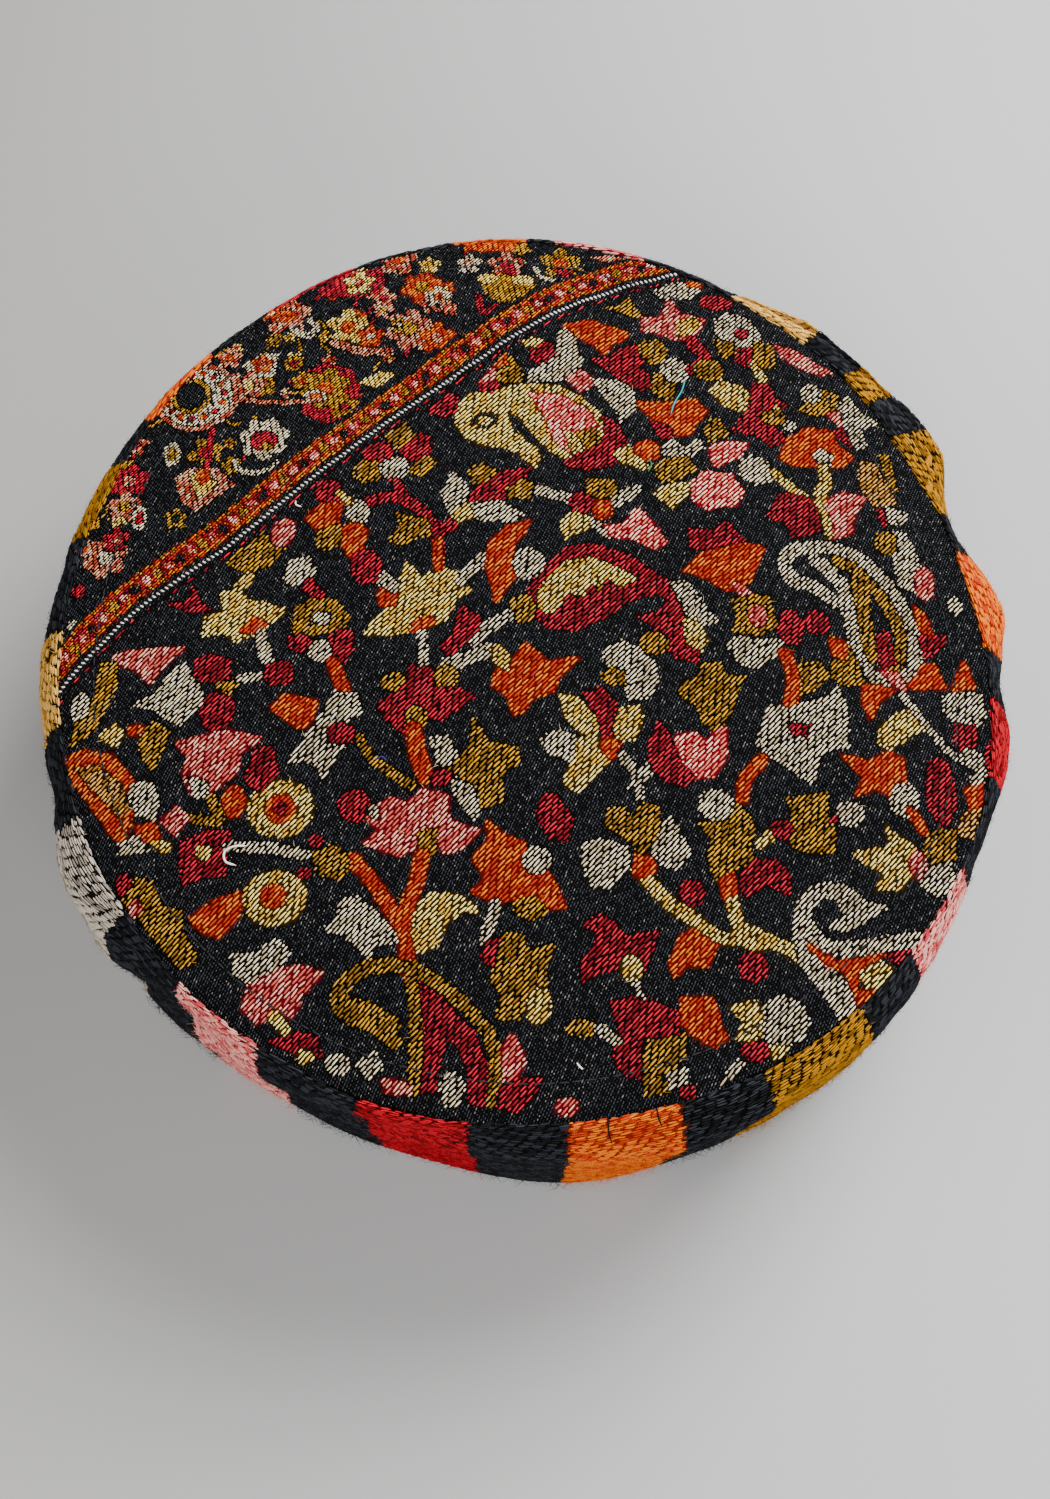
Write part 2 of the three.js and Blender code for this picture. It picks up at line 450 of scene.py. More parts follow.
def oval(yarn, x0, y0, rx, ry, turn=0):
    c, s = math.cos(math.radians(turn)), math.sin(math.radians(turn))
    reach = max(rx, ry)

    def inside(x, y):
        long, wide = (x - x0) * c + (y - y0) * s, (y - y0) * c - (x - x0) * s
        return (long / rx) ** 2 + (wide / ry) ** 2 < 1

    paint(yarn, (x0 - reach, y0 - reach), (x0 + reach, y0 + reach), inside)


# A smooth line through the points.
def smoothPath(numbers, steps=7):
    p = np.array(numbers, float).reshape(-1, 2)
    q = np.vstack([2 * p[0] - p[1], p, 2 * p[-1] - p[-2]])
    line = []
    for k in range(1, len(q) - 2):
        for t in np.arange(steps) / steps:
            line.append(curveBetween(*q[k - 1:k + 3], t))
    return np.array(line + [p[-1]])


# Distance from a line (left of it positive) and how far along it.
def fromLine(line, x, y):
    best, side, along, run = np.full(x.shape, 1e9), np.zeros(x.shape), np.zeros(x.shape), 0.0
    for a, b in zip(line[:-1], line[1:]):
        d = b - a
        length = max(np.hypot(*d), 1e-6)
        t = np.clip(((x - a[0]) * d[0] + (y - a[1]) * d[1]) / length ** 2, 0, 1)
        ex, ey = x - a[0] - t * d[0], y - a[1] - t * d[1]
        far = np.hypot(ex, ey)
        near = far < best
        best = np.where(near, far, best)
        side = np.where(near, np.sign(d[0] * ey - d[1] * ex) * far, side)
        along = np.where(near, run + t * length, along)
        run += length
    return side, along


# A smooth line of yarn of that width through the points.
def stem(yarn, width, *numbers):
    line = smoothPath(numbers, 4)
    paint(yarn, line.min(0) - width, line.max(0) + width,
          lambda x, y: np.abs(fromLine(line, x, y)[0]) < width / 2)


# A small round flower: petals round a heart.
def floret(x0, y0, size, petal, heart, petals=5, turn=0.3):
    for k in range(petals):
        a = turn + 2 * math.pi * k / petals
        oval(petal, x0 + 0.55 * size * math.cos(a), y0 + 0.55 * size * math.sin(a), 0.46 * size, 0.34 * size,
             math.degrees(a))
    oval(heart, x0, y0, 0.34 * size, 0.34 * size)


def chartMiddle():
    area("cream", -31, .5, -29, 4, -25.5, 7, -24.5, 12, -23, 16.5, -20, 13, -16, 15, -13, 13.5, -13,
         10.5, -10, 10.5, -13, 8, -15, 4, -19, 1.5, -23, 1, -26, .5)
    area("orange", -22.5, 1.2, -21, 4, -18, 5, -17, 3, -20, 1)
    oval("orange", -26.5, 8.8, 2.1, 2.3)
    stem("white", 2.6, -29, 14.3, -25.7, 10.8)
    oval("red", -31, 15.5, 3, 3.6, 15)
    stem("white", 2.1, -12.5, 12, -7, 17.3)
    area("orange", 1.5, 25, -3, 23.5, -7, 20, -7.5, 15, -6, 10.5, -5.5, 7, -3.5, 10, -1.5, 12.5, -2.5,
         16, -1.5, 20, .5, 22.5)
    oval("white", 1, 15.5, 3.2, 3.2)
    area("red", 0, 8, 3, 13, 9, 19.5, 14, 20, 20, 18, 25, 14.5, 29, 12, 31, 9, 31, 5, 32, 1, 34, -2, 34,
         -5, 30, -4, 27, -1, 25, 3, 22, 4.5, 27, 5.5, 28.5, 8, 26, 9.5, 21, 8, 16, 4, 10, 1.3, 5, 1.5,
         2.5, 4, 3, 6)
    area("cream", 3, 5.5, 2.5, 9, 5, 13, 9, 16.5, 14, 17, 19, 15, 23, 12.5, 19, 10.5, 17, 12.5, 15, 11,
         13, 11, 12, 8.5, 9, 9, 6, 5, 4.5, 4.5)
    area("mustard", -2.5, 7.5, 1, 9, 3, 6, 2, 3.5, -1, 3)
    oval("mustard", 15, 10.4, .9, .9)
    area("white", 28.5, 12, 32, 12, 35, 8, 38, 3.8, 34, 2.5, 31, 7)
    area("cream", 31, 4, 34, 4.5, 36, 0, 34.5, -2.5, 31.5, -1)
    oval("mustard", 25.5, -1, 3, 2.2)
    stem("white", 2, -2.5, 4.5, -5.5, 3, -9.5, -.8)
    area("red", -12, 6.5, -8, 4, -9, 1, -12, -1.5, -14.5, -4.5, -16, -2, -13.5, 1, -13, 4)
    stem("white", 2.9, -6.5, -3, -10, -4.2, -14.3, -6)
    area("orange", .5, -1.5, -2, -5, -5.5, -7.5, -6, -10.5, -3, -12.5, -2, -16.5, 0, -16, 2, -13, 6,
         -11.5, 7, -8.5, 11, -4.5, 9, -4.5, 5, -5.5)
    area("cream", -7, -2.5, -4.5, -2, -2, -5, -3, -7.5, -5, -6.5)
    stem("white", 1.7, -19.6, 1, -19.2, -6)
    area("red", -22, -6, -17, -7, -15, -10, -9, -12.5, -13, -15.5, -16, -17.5, -20, -17, -23, -19.5,
         -26, -17, -28, -14, -24, -11.5, -22, -9)
    oval("mustard", -15, -8.5, 2.4, 2.4)
    oval("mustard", -25, -9.5, 2.4, 1.8)
    oval("mustard", -20.5, -16.5, 2.2, 2.2)
    stem("orange", 3, -21, -19, -20, -24, -18.5, -28)
    stem("mustard", 1.5, -31.5, -20.5, -28, -25, -21, -30)
    area("white", -18, -21, -14.5, -20.5, -12.5, -24, -13, -26.5, -16, -26)
    area("mustard", -9.5, -17, -6.5, -22, -1, -23, -.5, -25.5, -4, -28, -3.5, -33.5, -8, -34.5, -9, -30,
         -13, -29, -14, -27, -10, -23)
    area("white", -14, -27.5, -10, -30, -8, -34, -9, -37, -11, -34.5, -13, -32)
    oval("red", -15.5, -28.5, 2.6, 1.5)
    area("white", 19, -.5, 22, -2, 25.5, -5, 26, -9, 24, -12.5, 20.5, -13, 19.5, -10, 17, -7, 15.5, -4,
         17, -1.5)
    area("mustard", 17, -6, 19.5, -7, 20, -10, 16.5, -10, 15, -8.5)
    area("cream", 7, -12, 10.5, -12.5, 14, -17, 14.5, -21, 11, -20, 8, -16.5)
    area("red", 11.5, -12, 15, -10.5, 18, -14, 17, -17, 19, -21, 17, -24.5, 15, -22, 14.5, -17.5)
    area("cream", 17, -18.5, 19, -14.5, 22.5, -14, 23, -16.5, 21, -21, 18, -21.5)
    area("white", 3, -21, 7, -19.5, 11, -21, 12.5, -23, 9, -25.5, 5, -24)
    area("cream", 10, -21, 14, -21, 16.5, -25.5, 13, -29, 10, -31.5, 7.5, -29.5, 9.5, -25)
    oval("orange", 16.5, -22.5, 1.8, 2.2)
    stem("white", 1.5, 18.5, -24, 21.5, -28, 22, -32)
    stem("white", 1.5, 24.5, -26, 21.5, -29)
    area("red", 26, -17, 28, -20, 30, -25, 33, -28, 31, -30, 27, -29, 24, -26, 24, -21.5)
    area("pink", 29, -20, 33, -19, 35, -21, 37.5, -18, 39, -18, 39, -23, 36, -28, 33, -28, 30, -25)
    area("mustard", 35, -5, 38.5, -5, 39, -7.5, 43, -7.5, 41.5, -10.5, 40, -15, 37, -19, 34.5, -17,
         33.5, -13.5, 30, -11.5, 31, -8.5, 33.5, -8.5)
    stem("red", 2, -31, 29.5, -26, 30.5, -21, 28, -18, 24, -16.5, 19)
    stem("orange", 1.8, -17, 21, -16.6, 15)
    stem("red", 2, -13.5, 24.5, -17.5, 22)
    stem("red", 1.5, -26, 34.5, -24, 31)
    area("mustard", -25.5, 27, -23, 26, -19, 25.5, -18, 22, -20.5, 21.5, -24, 20, -26.5, 21, -24, 23.5)


def chartUpper():
    area("cream", -13.5, 47, -14, 51, -11, 55, -5, 56.5, 2, 57.5, 7, 57, 12, 54, 16, 50, 17, 46, 13, 41,
         9, 39.5, 5, 42, 1, 47, -1, 50.5, -3, 50, -2, 47, 2, 43, 3.5, 40, 2.5, 37.5, 0, 40, -3, 42, -8,
         42.5, -12, 44.5)
    stem("black", 1.5, -10.3, 47.8, -8.6, 50.3, -5.6, 49.6, -6.8, 47.2, -8.6, 47.4)
    stem("black", 1.3, -3, 50.5, -1.6, 47, 2, 43.2)
    area("pink", 1, 55.5, 8, 55, 14, 50.5, 16, 46, 11, 45.5, 8, 47, 9, 43, 10, 40.5, 6, 44, 4, 50)
    area("red", 16, 50, 19, 48, 21, 44, 18, 38, 13, 37, 8, 38.5, 10, 40.5, 14, 42.5, 16.5, 44.5)
    area("mustard", 10.5, 46, 15, 47, 16, 43.5, 13, 41.5)
    area("red", -20, 51, -15, 55.5, -13.5, 55, -13.5, 51, -16, 49.5)
    area("mustard", -28.5, 45.5, -24, 48, -22, 45, -26, 41.5)
    oval("red", -29.5, 41, 3, 2.6)
    area("red", -25, 41, -21, 45.5, -18.5, 44, -19, 39.5, -23, 38.5)
    oval("mustard", -31, 36.5, 3.2, 2.6)
    area("mustard", -23, 36, -19.5, 40, -17.5, 38, -20, 35)
    oval("white", -26, 37, 3, 2.6)
    area("mustard", -11, 36, -8.5, 38, -5.5, 36.5, -7, 33, -10, 33)
    area("white", -16.5, 31, -14, 36, -11, 32, -12, 27, -14.5, 26.5)
    area("red", -11, 29, -9, 33, -3, 36.5, 1.5, 37.5, -1, 33, -4, 30, -9, 28)
    area("mustard", -4, 32, 0, 35, 2.5, 33, 1, 30, -3, 30)
    area("white", -11, 29, -5, 29.5, .5, 26.5, -3, 24.5, -9, 25)
    area("cream", -14.5, 26, -11, 29, -10, 26, -13, 24)
    stem("white", 2, 3, 32, 9, 30.5)
    area("mustard", 13, 35, 18, 34.5, 19, 31, 15, 30.5, 12.5, 31.5)
    area("red", 9, 30.5, 12, 32, 15, 29, 12, 27, 9.5, 28)
    area("orange", 15, 30, 18, 29.5, 17.5, 26.5, 14.5, 25.5, 14, 28)
    area("cream", 7.5, 24.5, 10, 27, 14, 26, 13, 23.5, 9.5, 22, 8.5, 20.5)
    stem("white", 2.2, 18.5, 29.5, 22.5, 32.5)
    stem("white", 2, 14, 25, 17, 22.5)
    area("pink", 16, 24.5, 20, 24.5, 23, 28.5, 25.5, 25, 28.5, 20.5, 26, 19, 22, 21, 17, 22)
    area("mustard", -6, 59, -3, 64.5, -.5, 61, 0, 58, -4, 58)
    area("orange", -6, 62, -3.5, 65, -3, 62)
    area("rose", -9, 58, -6, 62, -6, 58)
    oval("red", -7, 57, 2, 1.4)
    area("white", 1, 60, 4, 62.5, 7, 65, 7.5, 70, 9, 71.5, 11, 69, 11, 65, 12.5, 63.5, 11, 60, 9, 58, 1,
         58)
    oval("red", 4, 65, 2.6, 2.6)
    oval("cream", 2, 67.5, 2, 1.2)
    area("orange", 8.5, 72, 14, 73.5, 22, 71.5, 22, 70, 18.5, 67.5, 17, 65, 15, 67, 11, 69.5)
    area("mustard", 17.5, 78, 20, 78.5, 22.5, 81, 24, 77.5, 26, 75.5, 22, 76)
    area("red", 19.5, 66.5, 23.5, 68, 26, 65, 24, 62.5, 27, 59, 24.5, 56, 21, 58, 17.5, 61, 14, 63.5,
         18, 64)
    oval("mustard", 27, 66.5, 3, 3)
    oval("mustard", 29, 58, 2.6, 3.4)
    oval("white", 31.5, 62, 3, 3)
    area("rose", 8.5, 59, 12, 60.5, 15, 58, 12, 55.5)
    area("white", 14, 58.5, 20, 58.5, 23, 55, 23, 52, 20, 48, 19, 51, 17, 54)
    area("orange", 23, 53.5, 27, 53.5, 31, 54, 35.5, 55, 38, 52.5, 35, 48, 34, 46, 30.5, 45.5, 27, 48.5)
    area("red", 26, 49, 30, 48, 31, 45, 28, 44.5)
    area("rose", 25, 76, 29, 75.5, 31, 81, 33, 77, 38.5, 75, 36, 71, 32, 70, 28, 71.5, 25, 72)
    area("cream", 32, 75, 36, 76, 38, 74.5, 35, 71, 32.5, 70.5)
    area("white", 27.5, 83, 30, 85, 35, 85.5, 38, 83, 35, 81, 30, 80.5)
    oval("orange", 36.5, 85, 1.8, 1)
    oval("red", 41, 80, 3.2, 2)
    area("white", 40.5, 75, 43, 77, 47, 76, 50, 72, 49.5, 68.5, 46, 68, 42, 69, 40.5, 72)
    oval("red", 46, 71.7, 1.7, 1.4)
    area("mustard", 40, 70, 44, 69.5, 45, 67, 42, 65.5)
    oval("red", 46.5, 65.7, 2.2, 2.2)
    area("mustard", 48.5, 69.5, 52.5, 69, 52.5, 64, 49.5, 62.5, 48, 65)
    stem("cream", 1.6, 48, 64, 50, 60)
    stem("red", 2.4, 35, 70, 38, 65, 35, 62.5)
    oval("mustard", 38.5, 62.5, 3, 2.6)
    area("cream", 38.5, 57.5, 41, 60, 46, 58.5, 47.5, 55, 46, 52.5, 42, 53.5)
    area("red", 48, 59.5, 51, 59.5, 52.5, 56, 55, 54.5, 50, 51.5, 54, 46.5, 51, 44.5, 48, 47, 43, 48,
         46, 52)
    area("cream", 51.5, 54, 52.5, 55, 53.5, 53.5, 52.5, 52.5)
    oval("mustard", 51.5, 51.5, 2.6, 1.8)
    oval("white", 55, 49.5, 1.2, 1.2)
    area("mustard", 57, 53.5, 60, 56, 62.5, 58.5, 65.5, 57.5, 65, 54, 61, 52.5)
    oval("white", 60, 57.5, 2.2, 2.2)
    area("rose", 53, 69, 57, 68, 62, 65, 65, 64, 63, 62.5, 58, 63.5, 54, 66)
    area("orange", 52.5, 41.5, 54, 46, 59, 49.5, 64, 49, 65, 45, 68, 43, 65, 40, 61.5, 40, 56, 40)
    area("white", 59, 43, 61, 45, 64, 43, 63, 40, 60.5, 40)
    stem("cream", 2.2, 61.5, 40, 61.5, 36, 60, 32, 62, 24)
    area("rose", 60.5, 31, 65, 34, 69.5, 33, 67, 29, 66, 24, 62, 23, 62, 28)
    area("white", 44, 40, 46.5, 42, 50, 40.5, 50.5, 36, 47, 34.5, 44, 37)
    stem("cream", 1.7, 51, 38, 55, 34, 59, 30)
    area("red", 49, 27.5, 52, 33, 57, 33, 59.5, 30, 60, 25, 54, 22.5, 53, 25.5)
    area("pink", 34, 30, 34, 34, 37, 37, 42, 37, 44.5, 33, 43, 29.5, 37, 28)
    area("pink", 38, 43, 41.5, 45, 46, 45, 44, 41.5, 39, 38.5, 38, 41)
    area("white", 28, 41, 30, 45, 33, 42.5, 36, 45, 37, 43, 33, 40)
    area("mustard", 26.5, 37, 29, 39.5, 33.5, 40.5, 35, 37.5, 32, 35, 28, 34)
    area("cream", 26, 31.5, 30, 34, 33.5, 34, 33, 31, 30, 28)
    oval("orange", 25, 41.5, 2.6, 2.4)
    area("cream", 18, 41, 21, 43, 24, 39.5, 26, 37.5, 24, 37, 20, 38.5)
    area("mustard", 37, 48, 39.5, 51, 42.5, 47, 38, 44.5)
    area("white", 66, 56, 68, 58, 70, 54, 74, 52, 70, 50, 71, 46, 69, 45, 67, 48, 65.5, 53)
    area("rose", 63, 53, 66, 54, 66, 50)
    area("red", 64, 49, 67, 49.5, 68, 45)
    area("tan", 69, 42, 72, 42, 75, 35, 76, 32, 71, 31, 68.5, 36)
    area("mustard", 73.5, 44, 75.5, 44, 76.5, 35, 75, 35)


def chartRight():
    area("red", 33, 23.5, 38, 23, 40.5, 25.5, 42.5, 23, 44, 21, 38, 19, 33, 19)
    area("orange", 31.5, 14, 35, 18, 38, 19, 44, 20.5, 48, 20, 46, 15, 44.5, 12, 40, 10, 36.5, 12.5, 33,
         14)
    stem("rose", 1.5, 42, 11.5, 44.5, 9)
    area("mustard", 41, 8.5, 45, 9.5, 48.5, 9.5, 49, 6, 50, 3, 46, 1, 41, 1.5, 42, 5)
    oval("rose", 46, 5, 1.9, 2.4)
    area("white", 39.5, -1, 42, .5, 47, 0, 52, .5, 49, -3, 46, -6, 42.5, -5.5)
    oval("red", 52.3, 3, 2.4, 3.8)
    oval("red", 57.7, 4.5, 2.6, 2.4)
    stem("mustard", 3.4, 67, 14, 67.2, 5, 67.6, -2)
    stem("mustard", 2.2, 63, 18, 67, 16, 71, 11, 74, 5, 74.5, 0, 73, -4)
    area("red", 70, 3, 72, 3.5, 73.5, -3, 71, -5, 69.5, -2)
    stem("white", 2.5, 62, 9, 57.5, 12.2, 53.3, 13.3, 52, 16.6, 54, 20, 58, 20.8, 62, 20.8, 67, 18.7,
         71, 15, 75, 9, 77.4, 3, 77, -3, 74, -6.4, 70, -7.3, 67, -4, 65.3, 1, 64.6, 7, 63.8, 12, 61,
         15.8, 58, 18)
    area("rose", 70, -5, 74, -5, 75, -9, 72, -8)
    area("orange", 77.5, 9.5, 80, 7, 81, 3, 78.5, 3.5)
    area("red", 78, 3, 84, 3, 82, 0, 79, -2)
    area("orange", 78.5, -3, 81, -3, 83, -8, 77, -8.5, 75, -8)
    area("orange", 66, -9, 70, -8, 72.5, -9, 69, -12, 67, -16, 65.5, -12)
    area("mustard", 60, 2, 64, 0, 66, -4, 66.5, -8.5, 62, -9, 59, -6.5, 61, -3)
    area("orange", 60, 1.5, 64, .5, 63, -3.5, 60.5, -2.5)
    area("mustard", 53, -5, 58, -4, 59, -7, 56, -10.5, 53, -11.5)
    stem("orange", 2.3, 51, -3, 52.5, -8, 51.5, -13)
    area("white", 47.5, -13.5, 51, -14, 58, -12, 61, -9.5, 62.5, -14, 62.5, -22, 57, -23, 55, -29, 50,
         -26, 44.5, -21.5, 46, -17)
    area("red", 50.5, -17, 54, -17.5, 55.5, -17.5, 54, -20, 51.5, -19.5)
    stem("orange", 2.2, 45.5, -24.5, 42.5, -28, 41.5, -32)
    area("cream", 77, -12.5, 78, -17, 74, -19, 70.5, -22.5, 68, -21, 69, -17, 73, -14)
    stem("white", 1.3, 74, -10, 78, -16, 83, -22, 90, -25)
    area("orange", 60.5, -23.5, 66, -25, 70, -22.5, 73, -24, 73, -29, 70, -31, 67, -30, 63, -31.5, 65,
         -28)
    oval("white", 72.5, -32, 2.8, 3.3)
    oval("red", 80, -29.5, 3, 6.5)
    area("orange", 87, -2, 88.8, -8, 84, -8.5, 85.5, -5)
    area("white", 82, -10, 85, -9, 90, -9, 90.5, -13, 88, -16, 84, -15, 82, -13)
    area("red", 84, -15.5, 88, -15.5, 88.5, -19, 86, -22, 83.5, -19)
    stem("white", 1.8, 86, -21, 90, -24, 87, -27)
    oval("red", 91, -23, 1.5, 3.5)
    area("orange", 85, -29, 89, -27, 88, -32, 85.5, -33)
    area("tan", 83, -38, 84, -34, 88, -32, 86, -38.5)
    area("white", 74, 25, 77, 25, 79, 20, 80, 14, 78.5, 12, 75, 13, 74, 19)
    oval("rose", 80, 14, 2, 3.4)
    oval("mustard", 73, 22.5, 2.2, 2.6)
    area("white", 73.5, 31, 78, 30, 77, 27, 74, 27)
    area("red", 71.5, 30, 73.3, 30, 73, 25)
    oval("white", 86, 9.5, 1.4, 2)


def chartLowerRight():
    area("mustard", 33, -37, 38, -37, 41, -33, 43, -36, 44, -38, 42.5, -41, 43.5, -44.5, 39, -46, 36,
         -48, 34.5, -43, 36, -40)
    oval("white", 36.5, -33.5, 3.2, 3)
    area("orange", 36.5, -47.5, 39.5, -46.5, 40, -50.5, 37.5, -52)
    stem("cream", 1.4, 44.5, -41, 47.5, -38.5)
    area("mustard", 50, -32, 53, -31.5, 58, -31, 57.5, -35, 59, -38, 59, -42, 55, -42.5, 51, -41.5,
         49.5, -39, 51, -36)
    oval("red", 49, -38, 2.2, 1.8)
    oval("white", 62, -35, 2.6, 2.3)
    oval("red", 58.7, -36, .8, .8)
    area("red", 41, -46.5, 43, -44, 48, -44, 50, -47, 50, -50.5, 45, -48.5, 42, -51, 40, -49.5)
    stem("cream", 2.2, 39, -52, 40, -56, 45, -59, 50, -61, 54, -64)
    stem("cream", 2.2, 23, -48, 28, -53, 32, -55.5, 36, -58.5, 40, -59, 44, -60)
    oval("red", 31.5, -50.5, 2.2, 2.4)
    area("orange", 29, -58.5, 32, -57, 36, -60, 34, -64, 30, -63.5, 28, -66, 27, -63)
    oval("red", 42.5, -64, 2.5, 2.6)
    area("cream", 68.5, -37, 71, -39, 74, -40.5, 75, -43.5, 73, -47, 71, -49, 66.5, -49, 68, -46, 65,
         -44.5, 62, -42.5, 66, -41.5, 69.5, -41)
    stem("orange", 1.7, 73.5, -34, 76, -37.5)
    area("mustard", 76, -40, 78, -37.5, 82.5, -37, 82.5, -42, 78, -44, 76, -42)
    oval("rose", 74.5, -44, 1.8, 2.4)
    area("white", 76, -45, 81, -43, 82, -47, 78, -50, 75, -48)
    area("orange", 52.5, -58, 55, -60, 58, -62.5, 63, -62, 68, -60.5, 66, -62, 62, -64.5, 62, -68, 66,
         -67.5, 63, -71, 60, -69, 59.5, -64, 56, -64, 53.5, -61)
    area("cream", 62, -64.5, 66, -62, 69.5, -64, 67, -67, 64, -67.5)
    area("red", 68, -60, 72.5, -60, 71, -63, 68.5, -62)
    area("white", 50.5, -60, 54, -61, 57, -64, 60, -66, 62, -71, 58.5, -73, 55, -68, 51, -63)
    stem("white", 2.8, 63, -52, 60, -49.8, 57, -49.3, 54, -50.5, 52.3, -54, 53.8, -57.8, 58.5, -60.3,
         65, -59.6, 71, -58.6, 75, -58)
    stem("white", 2.2, 51.5, -54.5, 51.3, -60)
    area("white", 59, -51, 63, -51.2, 68.5, -52, 64, -55, 60, -57, 57, -56.2, 60, -54)
    area("cream", 38, -71, 43, -70, 44, -74, 43, -78, 39, -77, 40.5, -74)
    area("white", 44, -71, 48, -69, 51, -70, 53, -73.5, 51, -77, 47, -78.5, 44, -77)
    area("cream", 45, -78, 49, -78, 46, -80.5)
    oval("red", 42.5, -79, 2.6, 1.8)
    stem("white", 1.2, 40, -81, 37.5, -83.5)
    area("white", 11, -41.5, 15, -40.5, 19.5, -42, 20, -46, 16, -50, 13, -49.5, 11, -45.5)
    area("mustard", 16, -34.5, 19, -34.5, 21, -37, 22, -33.5, 25.5, -34, 26, -37.5, 24, -41, 22, -43.5,
         19.5, -40.5, 15.5, -38)
    area("white", 26, -38, 28, -36, 29.5, -39, 31.5, -42.5, 29, -46, 26, -45.5, 24, -42.5)
    area("orange", 21, -43.5, 24, -44, 25, -46.5, 22.5, -48, 20.5, -47)
    area("red", 14, -54.5, 17, -56, 19, -58.5, 25, -57.5, 24, -61, 22, -65, 19, -64, 14, -65, 11, -67,
         10.5, -63.5, 13, -60.5, 14, -58, 11, -56.5)
    oval("cream", 20, -64, 2.2, 2.4)
    stem("white", 1.3, 20.5, -67, 22.5, -71)
    area("red", 16, -70.5, 20, -69.5, 25, -70.5, 28.5, -72, 28.5, -76.5, 22, -77, 21, -80, 22, -84,
         18.5, -83.5, 16.5, -80, 18, -76)
    area("mustard", 22, -77, 30, -76, 30, -80, 27, -83, 26, -86.5, 22, -87, 22, -82)
    area("orange", 29, -69.5, 35, -69.5, 36, -73, 37.5, -77, 35, -78.5, 31, -76, 29, -74)
    area("white", 26, -83, 30, -82, 29.5, -85, 26.5, -86)
    oval("red", 30, -86.5, 1.4, 1)
    oval("rose", 8, -89, 1.8, 1.5)


